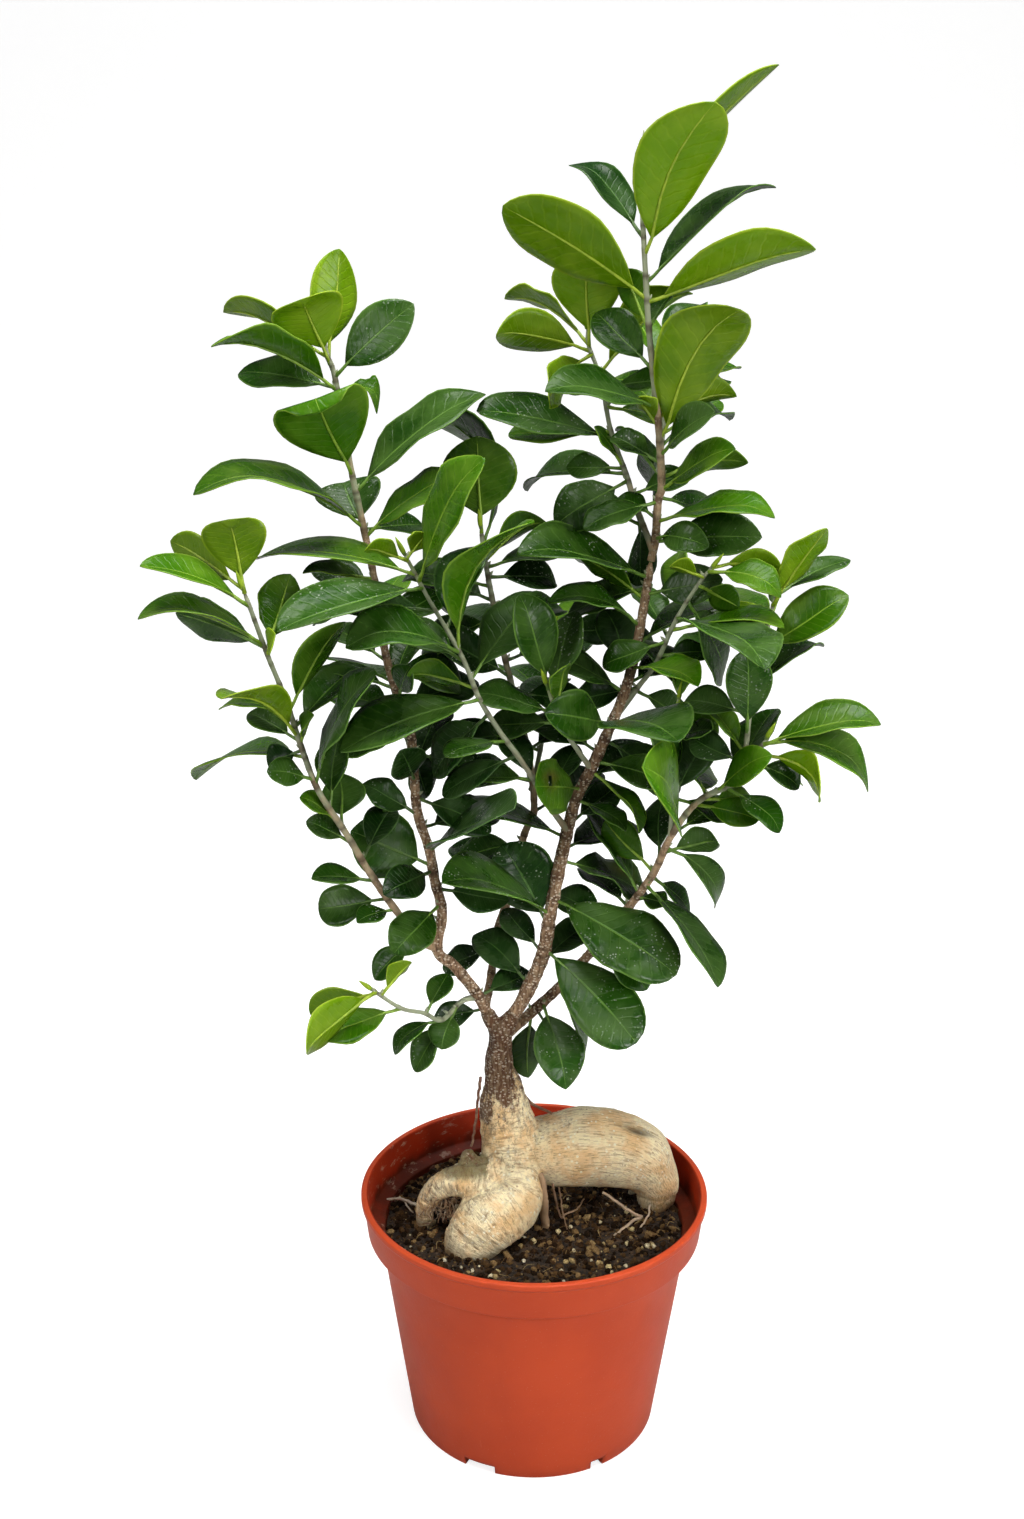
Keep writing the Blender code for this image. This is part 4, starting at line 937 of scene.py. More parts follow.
def habitOf(leaf):
    shootName, at, age = leaf["flush"][0], leaf["at"], leaf["age"]
    chance = random.Random(f"{shootName} {at}")
    return {
        "fold": chance.uniform(0.20, 0.48), "cup": chance.uniform(0.0, 0.16), "flap": 0.0, "flapAt": 0.8,
        "wave": chance.uniform(0.0, 0.07), "waves": chance.uniform(1.3, 2.4), "phase": chance.uniform(0, 6.3),
        "curl": chance.uniform(-0.1, 0.8), "bend": chance.uniform(-0.035, 0.035), "notch": 0.0,
        "blunt": chance.uniform(0.58, 0.82), "tone": chance.random(), "brown": 0.0, "hole": None, "age": age,
        "bloom": 0.0 if age < 1 else chance.choice((0.0, 0.05, 0.12, 0.25, 0.45)) * min(1, age / 2),
        "dust": 0.0 if age < 2 else chance.choice((0.0, 0.2, 0.5, 0.9)),
    } | habits.get(shootName, {}).get(at, {})


def halfWidth(leaf, habit, u):
    swell, blunt = leafForm["swell"], habit["blunt"]
    peak = swell / (swell + blunt)
    full = peak ** swell * (1 - peak) ** blunt
    return max(0.8 * (1 - u), 0.5 * leaf["wide"] * u ** swell * (1 - u) ** blunt / full)


def bladePlace(leaf, habit, u, v):
    # a point of the blade: u from petiole to tip, v from edge to edge
    long = leaf["long"]
    petiole = petioleOf(leaf) / long
    share = petiole + (1 - petiole) * u
    half = halfWidth(leaf, habit, u)
    rise = humpOf(leaf, share)
    rise += half * (habit["fold"] * (math.sqrt(v * v + 0.012) - 0.11) - habit["cup"] * v * v)
    phase = habit["phase"] + (leafForm["edgeShift"] if v > 0 else 0)
    rise += half * habit["wave"] * 1.6 * math.sin(6.28 * habit["waves"] * u + phase) * v * v
    tip = max(0.0, (u - leafForm["tipFrom"]) / (1 - leafForm["tipFrom"]))
    rise -= habit["curl"] * long * leafForm["curlDrop"] * tip ** 2
    forward = long * share - habit["curl"] ** 2 * long * leafForm["curlDraw"] * tip ** 2
    forward -= habit["notch"] * long * max(0.0, 1 - abs(v) * leafForm["notchWide"]) * tip ** 4
    if u > habit["flapAt"]:  # the tip folded over
        beyond = (u - habit["flapAt"]) * long
        turned = habit["flap"] * min(1, (u - habit["flapAt"]) / leafForm["flapRun"])
        forward += beyond * (math.cos(turned) - 1)
        rise -= beyond * math.sin(turned)
    sway = habit["bend"] * long * math.sin(math.pi * u)
    return leaf["foot"] + leaf["along"] * forward + leaf["side"] * (half * v + sway) + leaf["face"] * rise


def addBlade(bm, uvLayer, layers, leaf, habit):
    rows, columns = leafForm["rows"], leafForm["columns"]
    grid = bmesh.ops.create_grid(bm, x_segments=rows, y_segments=columns, size=0.5)["verts"]
    brownU, brownV = habit["hole"] or leafForm["brownAt"]
    places = {}
    for vert in grid:
        u = 1 - (0.5 - vert.co.x) ** 1.5  # rows lie closer near the tip, columns near the edges
        v = math.copysign(abs(2 * vert.co.y) ** 0.85, vert.co.y)
        places[vert] = (u, 0.5 + 0.5 * v)
        vert.co = bladePlace(leaf, habit, u, v)
        for key, layer in layers.items():
            vert[layer] = habit[key]
        vert[layers["brown"]] *= max(0, 1 - 3.5 * math.hypot(u - brownU, (v - brownV) * 0.6))
    faces = {face for vert in grid for face in vert.link_faces}
    for face in faces:
        for loop in face.loops:
            loop[uvLayer].uv = places[loop.vert]
    if habit["hole"]:  # chewed through
        middle = bladePlace(leaf, habit, *habit["hole"])
        eaten = min(faces, key=lambda face: (face.calc_center_median() - middle).length)
        bmesh.ops.delete(bm, geom=[eaten], context="FACES_ONLY")


def addStalk(bm, layers, leaf, habit):
    # the petiole, running on under the blade as its midrib
    foot = leaf["foot"]
    base = bladePlace(leaf, habit, 0, 0)
    line = [foot, foot.lerp(base, 0.55) - leaf["face"] * 0.05 * petioleOf(leaf), base - leaf["face"] * 0.25]
    sizes = list(leafForm["stalk"])
    for u in leafForm["midrib"]:
        radius = 0.58 * (1 - u) ** 0.8 + 0.08
        line.append(bladePlace(leaf, habit, u, 0) - leaf["face"] * (0.3 + 0.35 * radius))
        sizes.append(radius)
    values = {layer: [habit[key]] * len(line) for key, layer in layers.items()}
    for face in sweep(bm, line, sizes, leafForm["ribSides"], values):
        face.material_index = leafMaterials.index(leafStalk)


def buildLeaves(label, leaves):
    bm = bmesh.new()
    uvLayer = bm.loops.layers.uv.new("UVMap")
    layers = {key: bm.verts.layers.float.new(key) for key in ("age", "tone", "bloom", "dust", "brown")}
    for leaf in leaves:
        addBlade(bm, uvLayer, layers, leaf, habitOf(leaf))
    bmesh.ops.remove_doubles(bm, verts=bm.verts, dist=leafForm["merge"])
    bm = shaped(bm, "SOLIDIFY", thickness=leafForm["thickness"], offset=-1.0, use_rim=True,
                material_offset=1, material_offset_rim=2)
    layers = {key: bm.verts.layers.float[key] for key in layers}
    for leaf in leaves:
        addStalk(bm, layers, leaf, habitOf(leaf))
    finished(label + "_leaves", bm, leafMaterials, [label])


# stems

stemForm = {
    "step": 1.7, "sides": 12, "uneven": 0.06, "knot": 0.13, "knotWide": 1.4, "scarWide": 0.6, "collar": 0.4,
    "budSides": 5, "bud": 2.4, "budSizes": [0.7, 0.65, 0.1], "budGirth": 0.7,
    "leader": "top_right", "leaderBud": 1.35,  # the tallest shoot has the stoutest bud at its end
    "scarStart": 6, "scarGap": 9, "scarShift": 5.5, "scarGirth": 1.5,  # bare nodes of an old stem
}
# the furled bud at the end of a growing shoot: distance past the end, radius and girth tone
endBud = [(-0.5, 0.7, 0.5), (1.5, 1.0, 0.25), (3.5, 0.95, 0.2), (5.5, 0.6, 0.2), (7.5, 0.1, 0.2)]


def addEndBud(bm, layers, line, stout):
    heading = (line[-1] - line[-2]).normalized()
    girthLayer, scarLayer = layers
    sweep(bm, [line[-1] + heading * far * stout for far, radius, girth in endBud],
          [radius * stout for far, radius, girth in endBud], 8,
          {girthLayer: [girth for far, radius, girth in endBud], scarLayer: [0] * len(endBud)})


def buildStem(name, labels):
    shoot = shoots[name]
    line = easedLine(shoot["route"], stemForm["step"])
    total = span(shoot["route"])
    marks = marksOf(line)
    bm = bmesh.new()
    girthLayer, scarLayer = layers = [bm.verts.layers.float.new(key) for key in ("girth", "scar")]
    places = [leaf["at"] for leaf in shoot["leaves"]]
    if shoot["girth"][0] > stemForm["scarGirth"]:
        bare = range(stemForm["scarStart"], int(total) - 12, stemForm["scarGap"])
        places += [at + stemForm["scarShift"] for at in bare]
    sizes, girths, scars = [], [], []
    for at in marks:
        radius = thick(shoot, at)
        knot, scar = [max(bell(at - place, stemForm[wide]) for place in places)
                      for wide in ("knotWide", "scarWide")]
        collar = stemForm["collar"] * math.exp(-at / 4) if "from" in shoot else 0
        uneven = 1 + stemForm["uneven"] * noise.noise(Vector((at * 0.16, total, 0)))
        tip = min(1, 0.25 + (marks[-1] - at) / 5)
        sizes.append(radius * uneven * (1 + stemForm["knot"] * knot + collar) * tip)
        girths.append(radius)
        scars.append(scar)
    sweep(bm, line, sizes, stemForm["sides"], {girthLayer: girths, scarLayer: scars})
    if shoot["leaves"][-1]["at"] > 0.9 * total:
        addEndBud(bm, layers, line, stemForm["leaderBud"] if name == stemForm["leader"] else 1)
    for leaf in shoot["leaves"]:  # a bud above each leaf stalk
        heading = (leaf["along"] + 1.2 * upward).normalized()
        foot = leaf["foot"] + heading * thick(shoot, leaf["at"]) * 0.8
        bud = [foot + heading * share * stemForm["bud"] for share in (0, 0.5, 1)]
        sweep(bm, bud, stemForm["budSizes"], stemForm["budSides"],
              {girthLayer: [stemForm["budGirth"]] * 3, scarLayer: [0] * 3})
    finished(name + "_stem", bm, [stemBark], labels)


for name, shoot in shoots.items():
    labels = []
    for index, (start, end) in enumerate(flushes(shoot)):
        own = [leaf for leaf in shoot["leaves"] if leaf["flush"] == (name, start)]
        label = f"{name}_{index + 1}" if shoot["cuts"] else name
        buildLeaves(label, own)
        labels.append(label)
    buildStem(name, labels)
print("leaves and stems built")

# rootstock

rootForm = {
    "voxel": 0.85, "sides": 28, "step": 1.6, "smoothing": 7,
    "lumps": ((0.9, 15, 0.0), (0.45, 6, 3.0)),  # height, scale and seed of each wave in the skin
    "beadGap": 3.4, "beadSize": 0.22, "beadHeight": 0.35, "wrinkle": 0.42, "creaseAt": 96.5,
    "trunk": 0, "greatRoot": 3,  # their places in the list of roots
    "barkFrom": 138, "scar": Vector((45, 3, 131.5)), "peak": Vector((-29, -4, 124)), "mossAt": 122,
    "lengthways": (1.7, 0.25), "across": 0.22,  # how the skin's lines are drawn out on each kind of root
}


def rootLines():
    # for each root its eased centre line, a size for every point and the distance along to it
    lines = []
    for rows in roots:
        centres = easedLine([row[0] for row in rows], rootForm["step"])
        marks, stops, sizes = marksOf(centres), marksOf([Vector(row[0]) for row in rows]), []
        for mark in marks:
            at = mark * stops[-1] / marks[-1]
            index = max(place for place in range(len(stops) - 1) if stops[place] <= at + 1e-6)
            share = min(1, (at - stops[index]) / (stops[index + 1] - stops[index]))
            share = share * share * (3 - 2 * share) * 0.5 + share * 0.5
            low, high = rows[index], rows[index + 1]
            sizes.append(tuple(low[side] * (1 - share) + high[side] * share for side in (1, 2)))
        lines.append((centres, sizes, marks))
    return lines


def wear(place, scale, seed=0.0):
    return noise.noise(place / scale + Vector((seed, seed * 1.7, -seed)))


def lumpsAt(place, lumps):
    return sum(amount * wear(place, scale, seed) for amount, scale, seed in lumps)


def scarAt(place):
    # the split in an old wound on the great root
    away = place - rootForm["scar"]
    return 0.9 * bell(away.x, 6) * bell(away.z + 0.45 * away.x, 0.9) * (away.y < 6)


def swellingAt(which, place, local, mark):
    # how far the skin stands out from the smooth root
    push = lumpsAt(place, rootForm["lumps"])
    wrinkle = 1 - abs(noise.noise(Vector((local.x * 0.06, local.y * 0.06, mark * 0.42 + which * 7))))
    bead = noise.voronoi(place / rootForm["beadGap"])[0][0]
    push += rootForm["beadHeight"] * max(0, 1 - bead / rootForm["beadSize"])
    if which == rootForm["greatRoot"]:
        push += 0.1 * wrinkle - 0.9 * bell(place.z - rootForm["creaseAt"] - 0.08 * (place.x - 50), 0.9)
    else:
        push += rootForm["wrinkle"] * (wrinkle ** 4 - 0.4)
    push += 0.5 * bell((place - rootForm["scar"]).length - 6, 1.5) - 1.2 * scarAt(place)
    if which == rootForm["trunk"] and place.z > rootForm["barkFrom"]:
        push += 0.6 * wear(Vector((place.x * 2.2, place.y * 2.2, place.z * 0.5)), 5, 5.0)
    return push


def buildRootstock():
    bm = bmesh.new()
    lines = rootLines()
    for centres, sizes, marks in lines:
        sweep(bm, centres, sizes, rootForm["sides"], {})
    bm = shaped(bm, "REMESH", mode="VOXEL", voxel_size=rootForm["voxel"])
    for turn in range(rootForm["smoothing"]):
        bmesh.ops.smooth_vert(bm, verts=bm.verts, factor=0.5,
                              use_axis_x=True, use_axis_y=True, use_axis_z=True)
    owners = [(which, *found) for which, (centres, sizes, marks) in enumerate(lines)
              for found in zip(centres, framesAlong(centres), marks, sizes)]
    tree = KDTree(len(owners))
    for index, owner in enumerate(owners):
        tree.insert(owner[1], index)
    tree.balance()
    bm.normal_update()
    grainLayer = bm.verts.layers.float_vector.new("grain")
    mossLayer, scarLayer = [bm.verts.layers.float.new(key) for key in ("moss", "scar")]
    moves = {}
    for vert in bm.verts:
        place = vert.co.copy()
        # the nearest centre point, a thick root counting as nearer than a thin one
        best = min(tree.find_n(place, 6), key=lambda found: found[2] / owners[found[1]][4][0])
        which, centre, frame, mark, size = owners[best[1]]
        local = frame.transposed() @ (place - centre)
        if which == rootForm["greatRoot"]:
            close, drawn = rootForm["lengthways"]
            vert[grainLayer] = (local.x * close, local.y * close, mark * drawn)
        else:
            drawn = rootForm["across"]
            vert[grainLayer] = (local.x * drawn, local.y * drawn, mark + local.z)
        mossy = 0.6 * bell(place.z - rootForm["mossAt"], 5) * (place.x < -20)
        mossy += bell((place - rootForm["peak"]).length, 9)
        vert[mossLayer] = min(1, mossy) * (0.5 + 0.5 * vert.normal.z)
        vert[scarLayer] = scarAt(place)
        moves[vert] = vert.normal * swellingAt(which, place, local, mark)
    for vert, move in moves.items():
        vert.co += move
    finished("rootstock_skin", bm, [rootSkin], ["rootstock"])


rootTones = {
    "tan": (0.86, 0.575, 0.27), "pale": (1.0, 0.87, 0.55), "shade": (0.34, 0.17, 0.062),
    "pit": (0.98, 0.92, 0.72), "bark": (0.165, 0.074, 0.034), "moss": (0.15, 0.125, 0.045),
    "dirt": (0.05, 0.026, 0.012),
}
rootSkin, where = newMaterial("rootSkin", 0.52, 0.3)
across, height = axes(where)[::2]
grainPlace = attribute("grain", "Vector")
fine = cloud(grainPlace, 1.6, 5.0, 0.65)
lines = cloud(grainPlace, 0.9, 4.0, 0.6)
blotch = cloud(where, 75.0, 4.0)
ragged = cloud(stretch(where, (190, 190, 60)), 1.0, 5.0, 0.7)
freckles = fade(cloud(stretch(where, (520, 520, 240)), 1.0, 6.0, 0.8), 0.47, 0.60, 0.62)
cracks = fade(cells(where, 310.0, "DISTANCE_TO_EDGE"), 0.06, 0.0, 0.2)
cracks = cracks * fade(cloud(where, 55.0), 0.42, 0.58)
pits = (cells(where, 420.0) < 0.24) * fade(cloud(where, 90.0), 0.44, 0.54)
dents = (cells(where, 310.0) < 0.15) * fade(blotch, 0.46, 0.56)
mossy = fade(attribute("moss") + fine * 0.5, 0.55, 1.0, 0.85)
# bark comes down lower on the left, in a ragged edge
barkEdge = height + (ragged - 0.5) * 0.11 + (blotch - 0.5) * 0.05 - (across + 0.013) * 0.8
barky = fade(barkEdge, 0.146, 0.153)
barkGrain = useGroup(bark, Place=where)
barkTint = painted(rootTones["bark"], (barkGrain["Fissures"] * 0.6, stemTones["tan"]),
                   (barkGrain["Pores"] * 0.8, stemTones["pore"]))
tint = painted(
    rootTones["tan"],
    (fade(blotch, 0.36, 0.6), rootTones["pale"]), (fade(lines, 0.54, 0.32, 0.66), rootTones["shade"]),
    (cracks, rootTones["shade"]), (fade(fine, 0.58, 0.74, 0.5), rootTones["pale"]),
    (pits * 0.75, rootTones["pit"]), (dents * 0.55, rootTones["shade"]), (mossy, rootTones["moss"]),
    (freckles * fade(barkEdge, 0.108, 0.140), rootTones["bark"]), (barky, barkTint),
    (fade(height + blotch * -0.012, 0.093, 0.082, 0.8), rootTones["dirt"]),
    (attribute("scar"), rootTones["dirt"]))
relief = fine * 0.6 + lines * 1.7 + barkGrain["Fissures"] * barky + (pits - dents) * 0.35 - cracks * 0.5
dress(tint, bump(relief, 0.0015, 0.9))
buildRootstock()
print("rootstock built")

# fine roots on and over the potting mix

threads = [  # points in mm, radius at foot and end, tone from pale (0) to dark red-brown (1)
    ([(-23, -5, 163), (-24.3, -6, 151), (-25.5, -6.5, 141), (-27, -7, 131)], 0.7, 0.5, 0.95),
    ([(-5, 13, 146), (-0.9, 13, 141), (3, 13, 138.5), (8, 12, 137)], 0.8, 0.6, 0.9),
    ([(2.5, -8, 119), (4.2, -9.5, 110), (4.6, -8, 101), (5, -5, 91)], 1.5, 2.0, 0.45),
    ([(7.9, -4.5, 112), (9.2, -4, 104), (10.6, -2, 97), (12.3, -1.5, 93)], 0.6, 0.4, 0.8),
    ([(12.3, -1.5, 93.5), (15, 0, 95), (19, 3.5, 94.6), (22.3, 11, 95)], 0.45, 0.3, 0.6),
    ([(30, -3, 107), (37, -2, 101), (42, -1.5, 96.5), (47.3, 0, 93)], 0.6, 0.8, 0.35),
    ([(47.3, 0, 93), (43, -5, 93.8), (38, -10, 92.6), (34, -13, 91)], 0.8, 0.5, 0.3),
    ([(51, 3, 97), (50, -1, 94.5), (47, -6.5, 93), (45, -9, 91)], 0.5, 0.35, 0.25),
    ([(-66, 14.5, 92), (-60, 13, 93.6), (-54, 10, 93.2), (-48, 7.5, 92)], 0.55, 0.9, 0.05),
    ([(-57, 12, 93), (-56, 8, 93.4), (-53, 4, 92)], 0.4, 0.3, 0.05),
    ([(8, 19, 118), (12, -7.5, 103.5), (13, -8.5, 97), (14.5, -9, 92)], 0.4, 0.3, 0.7),
]
threadForm = {"step": 1.6, "sides": 7, "stray": ((-0.25, 0.25),) * 3}
web = {  # rootlets under the left root: ranges in x, y and z for where each starts and how it drifts
    "count": 46, "radius": 0.22, "step": 1.2, "sides": 4, "start": ((-45, -32), (-13, -5), (101, 110)),
    "drift": ((-5, 5), (-4, 3), (-9, -2)), "bulge": ((-3, 3),) * 3,
}
threadTones = [(0, (0.55, 0.47, 0.36)), (0.45, (0.30, 0.19, 0.10)), (1, (0.10, 0.03, 0.014))]
threadBark, where = newMaterial("threadBark", 0.7)
patchy = fade(cloud(where, 500.0), 0.45, 0.7, 0.5)
toned = blend(patchy, ramp(attribute("tone"), threadTones), (0.34, 0.22, 0.12))
dress(toned, bump(cloud(where, 900.0), 0.0004))


def within(chance, ranges):
    return Vector([chance.uniform(low, high) for low, high in ranges])


def buildThreads():
    chance = random.Random(11)
    bm = bmesh.new()
    toneLayer = bm.verts.layers.float.new("tone")
    for points, foot, end, tone in threads:
        line = [point + within(chance, threadForm["stray"])
                for point in easedLine(points, threadForm["step"])]
        sizes = [foot + (end - foot) * index / (len(line) - 1) for index in range(len(line))]
        sweep(bm, line, sizes, threadForm["sides"], {toneLayer: [tone] * len(line)})
    for index in range(web["count"]):
        start, drift, bulge = [within(chance, web[key]) for key in ("start", "drift", "bulge")]
        line = easedLine([start, start + drift * 0.5 + bulge, start + drift], web["step"])
        sizes, tones = [web["radius"]] * len(line), [chance.uniform(0.1, 0.7)] * len(line)
        sweep(bm, line, sizes, web["sides"], {toneLayer: tones})
    finished("fine_roots", bm, [threadBark])


buildThreads()
print("fine roots built")

# potting mix

soil = {
    "level": 91.0, "reach": 64.3, "grid": 104, "gridHalf": 66, "foot": 80.0, "taper": 0.965,
    "dishFrom": 58, "dish": 1.5, "dishRun": 7,  # it sinks a little towards the wall
    "lumps": ((1.3, 17, 2.0), (1.2, 6.5, 4.0), (0.7, 2.6, 6.0)),  # height, scale and seed of each wave
    "crumbs": 3800, "crumbBatches": 20, "crumbReach": 64, "fibres": 260, "fibreBatches": 10, "fibreReach": 62,
    "fibreStep": 1.3, "fibreSides": 4, "chip": (2.6, 4.6, 1.1), "chipTilt": 0.5, "chipShade": 0.8,
    "dark": (0.01, 0.005, 0.0015), "brown": (0.085, 0.044, 0.016), "grit": (0.20, 0.14, 0.07),
    "grain": (0.01, 0.006, 0.004),
}
crumbShades = [
    (0, (0.008, 0.004, 0.001)), (0.35, (0.026, 0.012, 0.004)), (0.65, (0.090, 0.048, 0.018)),
    (0.86, (0.26, 0.16, 0.065)), (0.94, (0.62, 0.49, 0.22)), (1, (0.80, 0.72, 0.52))]
paleGrit = [  # the brightest pieces: place, size and shade
    (41, 7, 1.4, 0.95), (10.5, -10, 1.5, 0.95), (0, -18, 1.6, 0.95), (16, -6, 1.0, 0.97),
    (29, -2, 1.0, 0.96), (-38, -32, 1.1, 1.0), (20, 2, 1.1, 0.88), (-44, -14, 1.7, 0.86),
    (24, -30, 0.9, 0.98), (46, -22, 1.0, 0.9), (-24, -44, 1.0, 0.97), (8, -34, 1.3, 0.84),
    (32, -40, 0.9, 0.95), (-52, 8, 1.0, 0.9), (18, -44, 1.5, 0.85)]
# chips of bark: place and turn
chips = [(-11, -29, 0.7), (-50, -6, 0.2), (26, -24, 1.4), (52, -14, 2.2), (-30, 44, 0.4)]
soilMaterial, where = newMaterial("pottingMix", 0.95)
lumps = cloud(where, 420.0, 6.0, 0.7)
specks = (cells(where, 900.0) < 0.16) * fade(lumps, 0.5, 0.62)
dress(painted(soil["dark"], (fade(lumps, 0.4, 0.72), soil["brown"]), (specks, soil["grit"])),
      bump(cloud(where, 1100.0, 5.0, 0.75), 0.0014))
crumbMaterial, where = newMaterial("crumbs", 0.9, 0.08)
grainy = fade(cloud(where, 1500.0), 0.4, 0.65, 0.5)
dress(blend(grainy, ramp(attribute("shade"), crumbShades), soil["grain"]),
      bump(cloud(where, 1600.0, 4.0), 0.0005))


def soilHeight(x, y):
    mound = lumpsAt(Vector((x, y, 0)), soil["lumps"])
    sunk = soil["dish"] * max(0, (math.hypot(x, y) - soil["dishFrom"]) / soil["dishRun"])
    return soil["level"] + mound - sunk


def onSoil(x, y, above):
    return Vector((x, y, soilHeight(x, y) + above))


def scattered(chance, reach):
    far = reach * math.sqrt(chance.random())
    turn = chance.uniform(0, circle)
    return far * math.cos(turn), far * math.sin(turn)


def buildSoil():
    bm = bmesh.new()
    bmesh.ops.create_grid(bm, x_segments=soil["grid"], y_segments=soil["grid"], size=soil["gridHalf"])
    reach = soil["reach"]
    outside = [vert for vert in bm.verts if vert.co.length > reach + 0.9]
    bmesh.ops.delete(bm, geom=outside, context="VERTS")
    for vert in bm.verts:
        if vert.co.length > reach - 0.6:
            vert.co = vert.co.normalized() * reach
        vert.co.z = soilHeight(vert.co.x, vert.co.y)
    rim = [edge for edge in bm.edges if edge.is_boundary]
    fresh = bmesh.ops.extrude_edge_only(bm, edges=rim)["geom"]
    for vert in [item for item in fresh if isinstance(item, bmesh.types.BMVert)]:
        vert.co = vert.co * soil["taper"]
        vert.co.z = soil["foot"]
    bmesh.ops.contextual_create(bm, geom=[edge for edge in bm.edges if edge.is_boundary])
    bmesh.ops.recalc_face_normals(bm, faces=bm.faces)
    finished("soil_bed", bm, [soilMaterial], ["soil"])


def roughened(verts, layer, shade, scale, seeds, amount):
    for vert in verts:
        vert.co += Vector([wear(vert.co, scale, seed) for seed in seeds]) * amount
        vert[layer] = shade


def addCrumb(bm, layer, place, size, shade, squash=0.7):
    turned = Matrix.Rotation(place.x * 3.1, 4, "Z") @ Matrix.Rotation(place.y * 2.3, 4, "X")
    form = Matrix.Translation(place) @ turned @ Matrix.Diagonal((size, size * 0.8, size * squash, 1))
    verts = bmesh.ops.create_icosphere(bm, subdivisions=1, radius=1, matrix=form)["verts"]
    roughened(verts, layer, shade, 0.9, (1.0, 2.0, 3.0), size * 0.35)


def addChanceCrumb(bm, layer, chance):
    x, y = scattered(chance, soil["crumbReach"])
    size = 0.4 + 1.7 * chance.random() ** 2.2
    shade = chance.random() ** 1.3 * 0.9 if chance.random() < 0.97 else chance.uniform(0.93, 1)
    addCrumb(bm, layer, onSoil(x, y, size * 0.25), size, shade)


def addFibre(bm, layer, chance):
    x, y = scattered(chance, soil["fibreReach"])
    way = chance.uniform(0, circle)
    start = onSoil(x, y, 0.3)
    drift = Vector((math.cos(way), math.sin(way), 0)) * chance.uniform(2.5, 7)
    drift.z = chance.uniform(-1, 1.4)
    bulge = within(chance, ((-1, 1), (-1, 1), (0.3, 1.6)))
    if (start + drift).xy.length > soil["crumbReach"]:
        return
    shade = chance.choice((0.55, 0.7, 0.8, 0.88))
    line = easedLine([start, start + drift * 0.5 + bulge, start + drift], soil["fibreStep"])
    sizes = [chance.uniform(0.1, 0.2)] * len(line)
    sweep(bm, line, sizes, soil["fibreSides"], {layer: [shade] * len(line)})


def inBatches(whole, chance, add, count, batches):
    # many small pieces, joined a batch at a time so that no step is slow
    for batch in range(batches):
        bm = bmesh.new()
        layer = bm.verts.layers.float.new("shade")
        for index in range(count // batches):
            add(bm, layer, chance)
        part = meshOf("batch", bm)
        whole.from_mesh(part)
        bpy.data.meshes.remove(part)


def buildCrumbs():
    chance = random.Random(23)
    whole = bmesh.new()
    inBatches(whole, chance, addChanceCrumb, soil["crumbs"], soil["crumbBatches"])
    layer = whole.verts.layers.float["shade"]
    for x, y, size, shade in paleGrit:
        addCrumb(whole, layer, onSoil(x, y, size * 0.5), size, shade, 0.9)
    for x, y, turn in chips:
        turned = Matrix.Rotation(turn, 4, "Z") @ Matrix.Rotation(soil["chipTilt"], 4, "X")
        form = Matrix.Translation(onSoil(x, y, 1)) @ turned @ Matrix.Diagonal((*soil["chip"], 1))
        verts = bmesh.ops.create_cube(whole, size=1, matrix=form)["verts"]
        roughened(verts, layer, soil["chipShade"], 2, (0, 4, 8), 1.2)
    inBatches(whole, chance, addFibre, soil["fibres"], soil["fibreBatches"])
    finished("soil_crumbs", whole, [crumbMaterial], smooth=False)


buildSoil()
buildCrumbs()
print("potting mix built")

# pot

pot = {
    "rimRadius": 75.0, "height": 108.0, "baseRadius": 54.0, "bandRadius": 67.0, "bandFoot": 90.5,
    "wallLow": (52.1, 7.0), "wallTop": (65.0, 92.0), "floor": 6.2,  # inside: radius and height
    "wallRings": (5.5, 12, 40, 70), "steps": 120, "rounding": 0.55,
    "ledge": (91.2, 94.0, 71.0), "floorSpan": (6.0, 7.0), "wallInside": 2.5,  # what counts as the inside
    "holes": 6, "holeRing": 34, "holeRadius": 4.5,
    "notches": ((245, 14), (300, 6), (65, 14), (155, 14)),  # angle and length
}
potTones = {
    "outside": (0.485, 0.058, 0.0175), "warm": (0.66, 0.090, 0.026), "scuff": (0.70, 0.15, 0.07),
    # inside: the pot's own red darkened, painted shade on the inner wall, ledge and floor
    "speck": (0.60, 0.26, 0.17), "inside": (0.30, 0.022, 0.004), "grime": (0.030, 0.010, 0.004),
    "lime": (0.52, 0.36, 0.26),
}
potOutside, where = newMaterial("potOutside", 0.36, 0.16)
warmer = fade(cloud(where, 26.0, 3.0), 0.3, 0.7, 0.35)
scuffs = fade(cloud(stretch(where, (160, 160, 26)), 1.0, 5.0, 0.7), 0.66, 0.78, 0.35)
dusty = (cells(where, 500.0) < 0.09) * 0.25
worn = cloud(where, 55.0, 4.0) * 0.16 + 0.30
dress(painted(potTones["outside"], (warmer, potTones["warm"]), (scuffs, potTones["scuff"]),
              (dusty, potTones["speck"])),
      bump(cloud(where, 700.0, 3.0), 0.00012, 0.6), [("Roughness", worn)])
# the inside: a darker copy of the pot's red as painted shade, with grime near the soil line and lime streaks
# on the left
potInside, where = newMaterial("potInside", 0.5, 0.16)
across, height = axes(where)[::2]
grubby = fade(height + cloud(where, 90.0, 4.0) * -0.016, 0.0925, 0.084, 0.8)
streaks = fade(cloud(stretch(where, (140, 140, 420)), 1.0, 4.0, 0.7), 0.56, 0.68, 0.5)
leftSide = fade(across, -0.020, -0.050)
dress(painted(potTones["inside"], (grubby, potTones["grime"]), (streaks * leftSide, potTones["lime"])),
      bump(cloud(where, 500.0, 3.0), 0.0002, 0.6))


